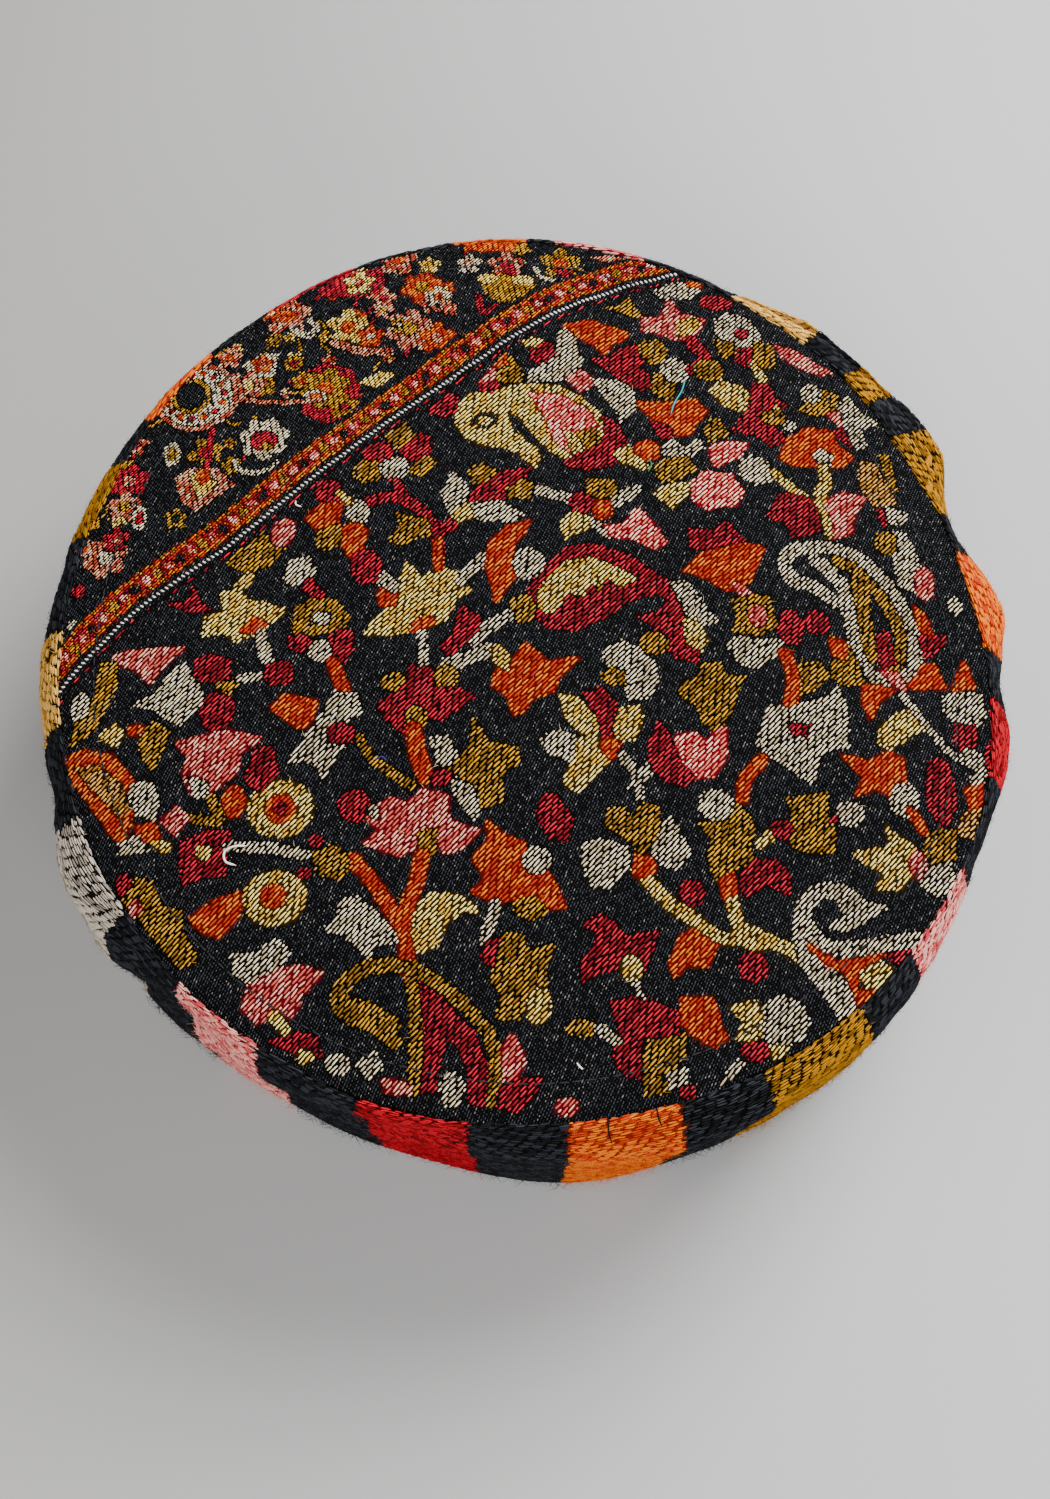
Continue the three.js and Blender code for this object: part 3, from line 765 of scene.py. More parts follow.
def chartLowerLeft():
    area("rose", -31, -35, -27, -33, -25, -32, -22, -33, -19, -30.5, -14, -32, -14, -36.5, -8, -39, -12,
         -42.5, -15, -43, -16.5, -40, -20, -41.5, -23, -43.5, -30, -41, -27, -38)
    area("white", -31, -35, -27.5, -33.3, -27, -36.5)
    area("mustard", -20, -38.5, -16, -38, -16.5, -43, -20, -42.5)
    oval("red", -32, -33.5, 3, 3)
    stem("orange", 2.5, -19, -43, -20, -49, -22, -55, -21.5, -62, -20.5, -66)
    stem("orange", 2.3, -32, -44, -28, -48.5, -25, -53, -22.5, -57)
    area("white", -34, -52, -31, -51, -26.5, -55, -22.5, -59.5, -27.5, -60.5, -29, -63, -31, -60, -34,
         -58, -37, -57, -34.5, -55)
    area("cream", -20, -53, -17, -50.5, -12, -51, -9, -53, -8, -54.5, -11, -54, -14, -56, -16, -60.5,
         -19.5, -62, -21, -58)
    area("orange", -7, -37, -4, -39.5, .5, -41.5, 0, -46, 4.5, -46.5, 6.5, -50, 8, -53.5, 5, -53.5, 2.5,
         -51, -1.5, -52, -5, -52.5, -9.5, -50.5, -7, -48, -9.5, -44, -6.5, -41)
    oval("white", 2.5, -44.7, 2.8, 2.6)
    area("mustard", -2, -52, 2, -51, 4.5, -54, 1.5, -55.8, -1.5, -54.5)
    area("red", 3.5, -32.5, 6, -32, 9.5, -37, 8, -41, 5, -40.5, 2.5, -36)
    stem("white", 1.9, -5, -52.5, -7, -59.5)
    oval("red", -5.5, -61.5, 2.2, 2.6)
    area("mustard", -3.5, -58, 0, -58.5, 1, -61, 6, -60, 4, -64, 4.5, -67, 1, -70, -1, -73.5, -5, -73.5,
         -4, -69, -6, -66.5, -5, -62.5)
    oval("cream", 2.8, -71, 2.4, 3.2)
    area("red", -19.5, -67, -15, -70, -9, -76, -6.5, -82, -7, -89, -10, -88, -10, -82, -13, -77, -15,
         -80, -16, -86.5, -18.5, -86.5, -18, -78)
    stem("mustard", 2.3, -20, -64.5, -26, -64, -31, -65.5, -34.3, -69, -32.5, -72.5, -27, -75, -23.5,
         -77.5)
    stem("mustard", 1.9, -33, -70, -28.5, -71.5, -23.5, -74.5)
    stem("mustard", 2.2, -20.5, -66, -19.5, -75, -20, -86)
    stem("mustard", 2.2, -20, -65, -14, -68.5, -8, -74, -5, -80, -5.5, -88)
    area("white", -30.5, -81.5, -27, -79, -25.5, -82, -28, -84)
    oval("white", -34, -81.3, 2.2, 1.8)
    oval("white", -13, -86, 2.2, 3)
    area("rose", -26, -84, -20, -85, -20, -87, -25, -86.5)
    area("rose", -2, -76, -4, -79, -4, -85, -1.5, -84, .5, -81)
    area("red", -5, -86, -1, -84, 3.5, -84, 2, -87, -1, -90, -5, -89)
    oval("mustard", 10.5, -75, 2.4, 1.6)
    stem("white", 1.7, 13.5, -75, 17.5, -77.5)
    oval("cream", -46, -34, 6.2, 5.4)
    oval("orange", -46, -34, 2.9, 2.9)
    oval("red", -46, -34, 1.4, 1.4)
    oval("cream", -46.5, -51, 6, 5)
    oval("orange", -46.8, -50.6, 2.6, 2.4)
    stem("mustard", 1.7, -62.5, -35.5, -57.5, -36, -59.5, -31.5)
    oval("orange", -55, -32.5, 2.2, 3)
    area("rose", -69, -35.5, -66, -33, -63.5, -35, -66, -38.5)
    area("red", -65, -40, -60, -38, -55.5, -38, -56, -43, -56, -46.5, -60, -46.5, -64, -48, -65, -44)
    oval("cream", -60.5, -42, 1.6, 1.6)
    area("cream", -71, -39, -66.5, -40, -68, -42)
    area("orange", -74, -37, -70, -35.5, -69, -39, -73, -40)
    stem("white", 1.9, -56, -41, -48, -41.5, -41, -42.8)
    area("mustard", -40, -43, -36, -41, -32, -44, -34, -48, -38, -47)
    oval("red", -41, -46.5, 1.2, 1)
    oval("red", -39, -40.3, 1.2, 1)
    area("orange", -62.5, -54.5, -58, -51, -53, -49.5, -53, -54, -57, -58, -60, -57)
    area("rose", -47, -64, -41, -63.5, -37, -65, -41, -69, -43, -73, -46, -71, -49, -74, -52, -71, -51,
         -66.5)
    area("white", -54.5, -61, -50, -61, -46, -58.5, -43, -61, -46, -64, -51, -66.5, -54, -64.5)
    stem("cream", 1.8, -46, -72.5, -43, -76.5)
    area("red", -47, -77, -42, -75.5, -38, -76, -37, -80, -41, -79.5)
    oval("cream", -40, -79.7, 1.6, 1.2)
    area("mustard", -74, -46.5, -70, -47, -68, -52, -64, -53, -63.5, -57, -60.5, -62, -64, -63.5, -69,
         -58, -73, -53, -76, -50)
    oval("red", -75.5, -47.5, 1.4, 2)
    oval("rose", -73, -52, 1.2, 1.8)


def chartLeft():
    area("mustard", -59, 17.5, -55, 22.5, -52, 24, -49.5, 21, -47.5, 20.5, -50, 17, -54, 15, -57, 16)
    oval("rose", -48, 23.5, 2.2, 3, -20)
    area("cream", -63, 1.5, -62.5, 5.5, -59, 7, -60, 11, -56.5, 11.5, -54, 9, -50, 8, -46.5, 7, -50,
         3.5, -53, 1.5, -56, 0, -59, 2)
    area("orange", -56, 2, -53, 6, -50, 4, -52, 1.5)
    stem("cream", 1.9, -54.5, 14.5, -56.5, 11.5)
    stem("white", 2.3, -51.5, 1.5, -49.5, -5)
    area("white", -47.5, 14, -46, 17.5, -42.5, 18, -41, 15, -43, 12, -46, 12)
    stem("red", 2.3, -42.5, 12.3, -40.5, 9.5)
    area("mustard", -45, 3, -45, 7, -41, 9, -37, 8.5, -34, 5, -35, 2.5, -40, 1, -44.5, 1)
    oval("white", -39.5, 4.5, 1.8, 1.6)
    area("red", -46, .5, -43, 1.5, -40, -1.5, -43, -2.5, -45.5, -1.5)
    area("red", -38, 0, -36, 2, -33, 1.5, -33, -2, -35, -5.5, -37, -3)
    oval("white", -39.5, -2.5, 2.4, 2.2)
    stem("orange", 2.2, -37, -5, -34.5, -11)
    oval("red", -39, 32, 2.7, 2.5)
    area("orange", -43.5, 26.5, -40, 29.5, -36, 29.5, -37, 25, -41, 24)
    area("mustard", -41, 24, -37, 25, -36, 22, -38, 19.5, -41, 19.5)
    area("orange", -36, 24, -33, 25.5, -31, 23, -32, 19, -34.5, 17.5, -36, 20.5)
    oval("white", -33, 27.5, 2.2, 2.5)
    stem("cream", 1.4, -37, 31.5, -34.5, 29.5)
    area("red", -70.5, 9, -66.5, 9, -65.5, 12.5, -64, 9.5, -61.5, 7, -66, 7)
    area("rose", -81, -1.5, -76, -.5, -66, -.5, -70, -4, -73, -8, -75.5, -5, -79, -3.5)
    area("mustard", -83, -3, -80, -3, -79.5, -8, -81, -12, -83, -17, -88, -20, -87, -15, -84, -11)
    oval("white", -86.5, -12, 1.8, 3)
    area("white", -69, -5.5, -66, -4, -64.5, -7, -62.5, -9, -62, -12.5, -66, -17, -69, -15.5, -71.5,
         -13.5, -76, -12, -71, -10)
    area("red", -64, -4, -61, -2.5, -57, -4, -57, -7.5, -60.5, -8.5, -64, -7.5)
    area("mustard", -60, -8.5, -54.5, -8.5, -57, -11.5)
    stem("white", 1.7, -55, -8, -51, -7.5)
    oval("red", -47.5, -7, 2.8, 2.6)
    oval("red", -59, -14.5, 3.2, 3.8)
    area("orange", -49, -14, -46, -11.5, -43, -12, -39.5, -13, -41, -18, -43, -18.5, -47, -15.5)
    area("white", -36, -11, -32, -11.5, -31, -15, -34, -18, -33, -21, -36, -24, -38, -28.5, -40, -25,
         -45, -25, -42, -21, -39.5, -17)
    oval("red", -35, -19.5, 2.8, 2.2)
    area("rose", -67, -20.5, -62, -19.5, -57, -18.5, -50, -20, -54, -23, -54.5, -27, -59, -30, -62.5,
         -31.5, -65, -27, -64.5, -23.5)
    area("white", -64.5, -27, -60, -28, -59.5, -31, -62.5, -31.5)
    area("red", -51, -22, -48, -22, -46.5, -27, -50, -31, -53, -28)
    area("cream", -82, -18, -79, -16, -77, -18, -79, -21)
    oval("orange", -75, -17.5, 1.6, 1)
    area("mustard", -74, -19, -71, -16, -68, -18.5, -70, -23, -71, -26, -74, -22)
    area("orange", -89, -22.5, -85, -21, -79, -22.5, -76, -26, -73, -30, -76, -40, -79, -37, -83, -32,
         -87, -27)
    area("tan", -87, -24.3, -82, -24, -77, -28, -75, -33, -77, -35, -80, -32, -84, -28)
    area("white", -75, -28, -71, -28, -69.5, -32, -70, -36, -74, -34, -76, -31)
    area("white", -77, -40, -73, -38, -71, -41.5, -77, -42)


# Small sprigs between the corner's larger flowers: first, last and step of their columns and rows, how far
# they stray, their size, the share left out, and how near the crown's edge and the border they come.
sprigOptions = {"columns": (-94, 20, 6.6), "rows": (-4, 98, 6.2), "stray": 1.8, "size": (1.5, 2.7),
                "leftOut": 0.36, "reach": 96, "fromBorder": 10.5,
                "petals": ("blush", "blush", "orange", "cream", "mustard"),
                "hearts": ("orange", "cream", "mustard", "red")}


def chartSprigs():
    o = sprigOptions
    pick = np.random.default_rng(12)
    stray = o["stray"]
    for x0 in np.arange(*o["columns"]):
        for y0 in np.arange(*o["rows"]):
            x, y = x0 + pick.uniform(-stray, stray), y0 + pick.uniform(-stray, stray)
            size, turn = pick.uniform(*o["size"]), pick.uniform(0, 6.28)
            petal, heart = o["petals"][pick.integers(5)], o["hearts"][pick.integers(4)]
            near = borderSide(np.array(x), np.array(y)) < o["fromBorder"]
            if pick.random() < o["leftOut"] or near or math.hypot(x, y) > o["reach"]:
                continue
            c, s = math.cos(turn), math.sin(turn)
            stem("red" if size > 2.3 else "mustard", 0.9, x, y, x + 2.6 * c, y + 2.6 * s,
                 x + 4.2 * c - 1.4 * s, y + 4.2 * s + 1.4 * c)
            floret(x, y, size, petal, heart, 5, turn)


# The denser, small-scale flowers beyond the border.
def chartCorner():
    oval("blush", -67.6, 56.6, 8.8, 8.4)
    oval("white", -67.8, 56.8, 7.6, 7.2)
    oval("mustard", -69, 57, 4.2, 4.6, 30)
    oval("black", -69.3, 57.2, 3, 3.5, 30)
    for k in range(14):
        a = math.radians(-170 + 25 * k)
        oval("red" if k % 2 else "orange", -68 + 5.9 * math.cos(a), 57 + 5.7 * math.sin(a), .75, .75)
    floret(-50, 76.5, 5.4, "blush", "orange")
    floret(-53.5, 78, 2.6, "orange", "cream")
    stem("white", 1.7, -48.5, 73, -45.5, 71, -43.5, 73, -45, 75)
    floret(-37, 73, 4.6, "cream", "orange")
    floret(-32, 70.5, 3, "orange", "white")
    floret(-24, 72, 5.2, "blush", "mustard", 6)
    floret(-18, 69.5, 4, "orange", "blush")
    floret(-26, 73, 2, "mustard", "white")
    floret(-21.5, 83, 4.6, "orange", "mustard", 6)
    floret(-18, 80, 3, "white", "orange")
    area("blush", -18, 80, -14, 78, -14, 75, -17, 75)
    stem("blush", 2, -40, 69.5, -34, 67, -28, 66.5)
    area("red", -44, 83, -38, 88, -30, 88.5, -29, 81, -36, 80.5, -42, 81)
    floret(-35, 84.5, 3.6, "cream", "blush")
    floret(-29.5, 80, 3, "blush", "red")
    area("red", -49, 60, -42, 64.5, -35.5, 62.5, -33.5, 57, -35.5, 51, -40, 48.5, -45.5, 51.5, -45.5, 57)
    floret(-41, 58, 5.4, "mustard", "orange", 6)
    floret(-37, 53, 3.4, "mustard", "red")
    floret(-46, 60, 2.6, "mustard", "orange")
    oval("white", -43, 56, 2.6, 1.7)
    oval("orange", -43, 56, 1.2, .8)
    area("cream", -35, 59, -30, 61.5, -26, 61, -30, 57.5)
    area("white", -59, 64, -55, 67, -51, 67, -52, 61, -56, 61)
    floret(-54.5, 64.3, 2.4, "orange", "blush")
    oval("mustard", -48, 64.5, 2, 2)
    oval("red", -48, 64.5, 1, 1)
    floret(-61.5, 66, 3, "blush", "orange")
    floret(-57, 59, 3.8, "blush", "cream")
    stem("blush", 1.3, -59.5, 55.5, -50, 54.5, -42, 55)
    floret(-53, 45.5, 5.4, "white", "orange", 7)
    oval("red", -53, 45, 2.8, 2.6)
    oval("mustard", -52.5, 43.5, 1.4, 1)
    stem("white", 1.4, -59, 40.5, -56.5, 37.5, -51.5, 37.6, -50, 39.5)
    oval("white", -72, 43, 2, 3)
    oval("mustard", -72, 43, .9, 1.8)
    floret(-65.3, 43, 3.8, "mustard", "red", 4)
    stem("red", 1.4, -64, 48.5, -64.5, 39)
    area("blush", -71, 37, -68, 39.5, -62, 39, -58, 35, -62, 32, -66, 29, -69, 31)
    area("cream", -68, 38, -64, 38.5, -62, 35, -66, 31.5)
    oval("orange", -65, 37, 1.4, 2)
    floret(-70, 27.5, 2.6, "mustard", "black")
    floret(-80, 46, 3, "blush", "red")
    floret(-80.5, 37, 4.4, "red", "blush", 6)
    floret(-81, 31, 4, "blush", "mustard")
    oval("white", -77.5, 28, 1.6, 3)
    oval("red", -77.5, 28, .8, 1.6)
    floret(-84, 20, 5, "blush", "white", 6)
    floret(-82, 23.5, 3, "red", "blush")
    oval("red", -89, 13, 1.4, 1.6)
    oval("white", -89.5, 5, 1.4, 1.8)
    floret(-27, 91, 4.6, "blush", "orange")
    floret(-20, 89, 2.6, "cream", "mustard")
    floret(-11.5, 89, 3, "white", "blush")
    floret(-3.5, 88.5, 4.4, "blush", "red", 5)
    area("red", -6, 86, -2, 88, -1, 84, -4, 83)
    area("mustard", -9, 83, -5, 86, 0, 84.5, 3, 83, 0, 79, -5, 77.5, -8, 80)
    oval("cream", 0, 84, 2.6, 1.6)
    oval("cream", -7.5, 84.5, 2.2, 1.6)
    floret(8, 89.5, 4.6, "mustard", "orange")
    area("red", 6, 88, 11, 87.5, 9, 85)
    stem("white", 1.3, 2.5, 88, 4, 85, 7.5, 84.3)
    area("blush", 14, 91.5, 19, 93, 27, 90, 20, 89.6)
    stem("red", 1.5, -9.5, 79.5, -8.5, 75.5, -6, 77)
    area("orange", -13, 93, -2, 92.5, -1, 96, -12, 96)


# The slanting border: a twisted black and white cord line, then a red stripe with dots between orange edges.
borderOptions = {
    "start": 1.4, "end": 6.5, "edge": 1.1, "repeat": 10.6, "dot": 1.05, "cord": 0.34,
    "dots": ((1.2, "black", 0.95), (4.0, "pink", 1.1), (6.6, "mustard", 1.15), (9.2, "rose", 0.9)),
    "clear": (2.2, 0.9), "edgeStep": 0.9, "wave": 1.5, "waveWidth": 0.35, "redLine": (-1.75, -1.25),
    "redStep": 1.1,
    "cordStep": 0.5, "cordTurn": 62, "cordWhite": "#e4ded0", "cordBlack": "#12141a"}
borderLine = smoothPath([-97, -15, -91.7, -9, -80, 5, -70, 13, -60.5, 20, -50.5, 28.5, -34, 43, -20, 55,
                         -10, 63.2, 0, 70.5, 10, 77.4, 20, 83, 28.5, 86.2, 36, 89.5])


borderField = fromLine(borderLine, *np.meshgrid(chartLine, chartLine, indexing="ij"))[0]


# How far beyond the border's line (x, y) lies.
def borderSide(x, y):
    return borderField[cells(x, y)]


def chartBorder():
    o = borderOptions
    x, y = np.meshgrid(chartLine, chartLine, indexing="ij")
    side, along = fromLine(borderLine, x, y)
    inStripe = (side > o["start"]) & (side < o["end"])
    middle = (o["start"] + o["end"]) / 2
    before, after = o["clear"]
    chart[(side > -before) & (side < o["end"] + after)] = yarnIndex["black"]
    step = np.floor(along / o["edgeStep"]) % 3
    edge = inStripe & ((side < o["start"] + o["edge"]) | (side > o["end"] - o["edge"]))
    chart[inStripe] = yarnIndex["red"]
    chart[edge] = np.where(step == 0, yarnIndex["mustard"], yarnIndex["orange"])[edge]
    beat = along % o["repeat"]
    for at, yarn, size in o["dots"]:
        dot = np.hypot(beat - at, (side - middle)) < o["dot"] * size
        chart[dot & inStripe] = yarnIndex[yarn]
    wave = o["wave"] * np.sin(along * 2 * np.pi / o["repeat"] * 2)
    chart[inStripe & (np.abs(side - middle - wave) < o["waveWidth"])] = yarnIndex["orange"]
    low, high = o["redLine"]
    chart[(side > low) & (side < high) & (np.floor(along / o["redStep"]) % 4 > 0)] = yarnIndex["red"]


# Lets each motif grow over the black by that many cells.
def spreadChart(steps):
    blackCode = yarnIndex["black"]
    for _ in range(steps):
        for axis, way in ((0, 1), (0, -1), (1, 1), (1, -1)):
            near = np.roll(chart, way, axis)
            grow = (chart == blackCode) & (near != blackCode)
            chart[grow] = near[grow]


for part in (chartMiddle, chartUpper, chartRight, chartLowerRight, chartLowerLeft, chartLeft):
    part()
spreadChart(1)
chartSprigs()
chartCorner()
chartBorder()
print("stage 2: woven chart laid, share of colour", round(float((chart != yarnIndex["black"]).mean()), 2))


def chartAt(x, y):
    return chart[cells(x, y)]


# The outer cloths. They lie `sink` mm under the floats, and the crown reaches that share past its seam.
clothOptions = {"thickness": 1.0, "sink": 0.12, "crownReach": 1.012, "crownRings": 150, "crownColumns": 640,
                "bandRows": 96, "bandColumns": 640}

# Coloured blocks round the band: first and last angle in degrees, then the yarn. Black lies between them.
bandBlocks = [
    (0.6, 14, "bandOrange"), (20, 32.4, "bandMustard"), (38, 43, "bandMustard"), (50, 61.3, "bandCream"),
    (74, 86, "bandPink"), (89.5, 99, "bandOrange"), (112, 125, "bandRed"), (134, 146, "bandOrange"),
    (153, 164, "bandMustard"), (177, 189.5, "bandCream"), (201.5, 214.8, "bandGrey"),
    (225.8, 237.8, "bandPink"), (250.8, 263.8, "bandRed"), (275.1, 287.8, "bandOrange"),
    (298.1, 311.3, "bandMustard"), (320, 332, "bandPink"), (344, 354, "bandRed")]


# Yarn index at u mm round the band; each block's edge steps a little from row to row.
def bandYarnAt(u, v):
    ragged = 0.45 * np.sin(np.floor(v / 0.9) * 2.4) + 0.25 * np.sin(v * 0.23 + 1)
    angle = np.degrees(-(u + ragged) / rimRadius) % 360
    code = np.full(angle.shape, yarnIndex["bandBlack"])
    for low, high, yarn in bandBlocks:
        code[(angle > low) & (angle < high)] = yarnIndex[yarn]
    return code


def underColours(codes):
    table = np.array([colour(yarns[name]["under"]) for name in yarnNames])
    return table[codes]


# Closed sheet between two grids of points (rows, columns, 3), joined round as a ring.
def shell(name, top, bottom, centre=False):
    rows, columns = top.shape[:2]
    count = rows * columns
    face = gridFaces(rows, columns)
    ring = np.arange(columns)
    after = (ring + 1) % columns
    last = (rows - 1) * columns
    foot = np.stack([last + ring, last + after, count + last + after, count + last + ring], -1)
    quads = [face[:, ::-1], face + count, foot[:, ::-1]]
    points = [top.reshape(-1, 3), bottom.reshape(-1, 3)]
    if centre:
        points += [top[0].mean(0)[None], bottom[0].mean(0)[None]]
        fans = [np.stack([np.full(columns, 2 * count), ring, after], -1),
                np.stack([np.full(columns, 2 * count + 1), count + after, count + ring], -1)]
    else:
        quads.append(np.stack([ring, after, count + after, count + ring], -1))
        fans = []
    return makeMesh(name, np.concatenate(points), quads + fans)


# Stores the colour seen between the floats at each vertex.
def paintUnder(obj, codes):
    layer = obj.data.color_attributes.new("under", "FLOAT_COLOR", "POINT")
    values = np.tile(np.array(colour(yarns["black"]["under"])), (len(obj.data.vertices), 1))
    flat = underColours(codes.reshape(-1))
    values[:len(flat)] = flat
    layer.data.foreach_set("color", values.astype(np.float32).ravel())


# Fine twill seen between the floats: small slanting ribs over the under colour. The under colour is darkened
# towards black where the ribs and grain lie low, a painted shade in their grooves, and it also varies in
# patches at random.
def clothMaterial(name, ribLean):
    m = Maker(name)
    under = m.node("ShaderNodeAttribute", {"attribute_name": "under"})
    x, y, _ = m.place()
    c, s = math.cos(math.radians(ribLean)), math.sin(math.radians(ribLean))
    rib = ((x * c + y * s) * (2 * math.pi / 0.5)).sine() * 0.5 + 0.5
    grain = m.noise(0.5, 3.0, 0.6)
    patch = m.noise(14, 2.0)
    # Low in the grooves of the ribs and grain, where it paints shade over the under colour, and patchy at
    # random.
    shade = (rib * 0.5 + grain * 0.8) * (0.6 + 0.5 * patch)
    base = m.mix(shade.step(0.35, 1.1), m.mix(0.45, under, colour("#010101")), under)
    m.set(Base_Color=base, Roughness=0.75 + 0.2 * grain, Specular_IOR_Level=0.05)
    m.bump(rib * 0.6 + grain, 0.12)
    return m.material


def makeCrownCloth():
    o = clothOptions
    shares = np.linspace(0.004, 1.0, o["crownRings"]) * o["crownReach"]
    x, y, top, normal = crownGrid(shares, o["crownColumns"], 0.2)
    cloth = shell("crown_cloth", top - normal * o["sink"], top - normal * o["thickness"], centre=True)
    paintUnder(cloth, chartAt(x, y))
    return dress(cloth, clothMaterial("crown_twill", 137), "crown_cloth", "crown_panel")


def makeBandCloth():
    o = clothOptions
    u, v, top, normal = bandGrid(np.linspace(0, bandRun[-1], o["bandRows"]), o["bandColumns"])
    cloth = shell("band_cloth", top - normal * o["sink"], top - normal * o["thickness"])
    paintUnder(cloth, bandYarnAt(u, v))
    return dress(cloth, clothMaterial("band_twill", 60), "band_cloth", "side_band")


crownCloth = makeCrownCloth()
bandCloth = makeBandCloth()
print("stage 3: outer cloths made")


# Floats: mm between neighbours, length, how the yarn and the rows lean (degrees), width, lift and scatter.
crownFloats = {"pitch": 0.68, "length": 2.1, "lean": 47, "rowTilt": 18, "width": 0.32, "lift": 0.24,
               "scatter": 0.08}
cornerFloats = {"pitch": 0.55, "length": 1.4, "lean": 47, "rowTilt": 18, "width": 0.29, "lift": 0.18,
                "scatter": 0.08}
groundFloats = {"pitch": 0.52, "length": 0.7, "lean": 66, "rowTilt": 20, "width": 0.24, "lift": 0.08,
                "scatter": 0.04}
bandFloats = {"pitch": 0.54, "length": 2.3, "lean": 6, "rowTilt": 62, "width": 0.37, "lift": 0.2,
              "scatter": 0.14}
yarnShape = {"shorter": 0.2, "longer": 0.08, "turn": 3.5, "sideways": 0.025}   # how much single floats vary


def unitAt(degrees):
    return np.array([math.cos(math.radians(degrees)), math.sin(math.radians(degrees))])


# Centres of floats side by side in slanting rows.
def lattice(o, reachU, reachV):
    t, row = unitAt(o["lean"]), unitAt(o["rowTilt"] + 180)
    n = np.array([-t[1], t[0]])
    shift = o["pitch"] * (row @ t) / (row @ n)
    reach = math.hypot(reachU, reachV)
    p, q = np.meshgrid(np.arange(int(-reach / o["pitch"]), int(reach / o["pitch"])),
                       np.arange(int(-reach / o["length"]), int(reach / o["length"]) + 1), indexing="ij")
    p, q = p.ravel(), q.ravel()
    run = q * o["length"] + (p * shift) % o["length"]
    run = run + random.normal(0, o["scatter"] * o["length"], len(p))
    side = p * o["pitch"] + random.normal(0, yarnShape["sideways"], len(p))
    centre = side[:, None] * n + run[:, None] * t
    keep = (np.abs(centre[:, 0]) < reachU) & (np.abs(centre[:, 1]) < reachV)
    return centre[keep]


# Stretches of one yarn along each float: float, first sample, last sample, yarn.
def runsOf(codes, shortest):
    count, samples = codes.shape
    start = np.zeros(count, int)
    found = []
    for k in range(1, samples + 1):
        done = codes[:, k] != codes[:, k - 1] if k < samples else np.ones(count, bool)
        pick = np.nonzero(done & (k - start >= shortest))[0]
        found.append(np.stack([pick, start[pick], np.full(len(pick), k), codes[pick, k - 1]], -1))
        start[done] = k
    return np.concatenate(found)


# Steps of a float: a tip, three sections of left, middle and right, and a tip. Those of a speck: two tips,
# two sides and the top. Each is how far along and across it lies and its height, with None for the top.
floatSteps = [(-1, 0, -0.1)]
for at, wide in ((-0.62, 0.86), (0, 1), (0.62, 0.86)):
    floatSteps += [(at, -wide / 2, -0.03), (at, 0, None), (at, wide / 2, -0.03)]
floatSteps.append((1, 0, -0.1))
speckSteps = [(-1, 0, -0.05), (0, -0.5, -0.05), (1, 0, -0.05), (0, 0.5, -0.05), (0, 0, None)]


# Points of floats or specks lying on a surface at (u, v).
def yarnPoints(steps, surface, u, v, direction, half, width, lift):
    across = np.stack([-direction[:, 1], direction[:, 0]], -1)
    normal = normalsOf(surface, u, v, 0.1, 0.1)[1]
    points = []
    for at, sideways, height in steps:
        pu = u + direction[:, 0] * at * half + across[:, 0] * sideways * width
        pv = v + direction[:, 1] * at * half + across[:, 1] * sideways * width
        rise = lift * (1.0 - 0.25 * abs(at)) if height is None else np.full(len(u), height)
        points.append(surface(pu, pv) + normal * rise[:, None])
    return np.stack(points, 1)


speckTriangles = np.array([[0, 1, 4], [1, 2, 4], [2, 3, 4], [3, 0, 4]])
floatQuads = np.array([[1, 4, 5, 2], [2, 5, 6, 3], [4, 7, 8, 5], [5, 8, 9, 6]])
floatTriangles = np.array([[0, 1, 2], [0, 2, 3], [7, 10, 8], [8, 10, 9]])


def floatPiece(name, points, material, slotName):
    base = (np.arange(len(points)) * points.shape[1])[:, None, None]
    if points.shape[1] == 5:
        faces = (speckTriangles[None] + base).reshape(-1, 3)
        return dress(makeMesh(name, points.reshape(-1, 3), faces), material, slotName)
    faces = [(floatQuads[None, :, ::-1] + base).reshape(-1, 4),
             (floatTriangles[None, :, ::-1] + base).reshape(-1, 3)]
    return dress(makeMesh(name, points.reshape(-1, 3), faces), material, slotName)


# Fills a stretch of cloth with floats, one piece for each shade of yarn.
def layFloats(title, surface, o, reachU, reachV, codeAt, inside, slotName, samples=6, steps=floatSteps):
    centre = lattice(o, reachU, reachV)
    t = unitAt(o["lean"])
    spots = (np.arange(samples) + 0.5) / samples - 0.5
    u = centre[:, :1] + spots * o["length"] * t[0]
    v = centre[:, 1:] + spots * o["length"] * t[1]
    codes = np.where(inside(u, v), codeAt(u, v), -1)
    runs = runsOf(codes, 2 if samples > 4 else 3)
    runs = runs[runs[:, 3] >= 0]
    size = o["length"] / samples
    middle = ((runs[:, 1] + runs[:, 2]) / 2 - samples / 2) * size
    place = centre[runs[:, 0]] + middle[:, None] * t
    half = (runs[:, 2] - runs[:, 1]) / 2 * size
    half = half + random.uniform(-yarnShape["shorter"], yarnShape["longer"], len(runs))
    turn = np.radians(o["lean"] + random.normal(0, yarnShape["turn"], len(runs)))
    direction = np.stack([np.cos(turn), np.sin(turn)], -1)
    width = o["width"] * random.uniform(0.85, 1.1, len(runs))
    lift = o["lift"] * random.uniform(0.7, 1.25, len(runs)) * np.clip(half / 0.6, 0.5, 1)
    points = yarnPoints(steps, surface, place[:, 0], place[:, 1], direction, half, width, lift)
    chance = random.random(len(runs))
    for code in np.unique(runs[:, 3]):
        yarn = yarnNames[code]
        chosen = runs[:, 3] == code
        low = 0.0
        for number, (shade, part) in enumerate(yarns[yarn]["shades"].items()):
            pick = chosen & (chance >= low) & (chance < low + part + 1e-9)
            low += part
            if pick.sum() > 3:
                name = f"{yarn}_{number + 1}"
                floatPiece(f"{title}_{name}", points[pick], yarnMaterial(shade, f"yarn_{name}"), slotName)
    return len(runs)


def onCrown(x, y):
    return np.hypot(x, y) < seamRadius(np.arctan2(y, x)) * 1.004


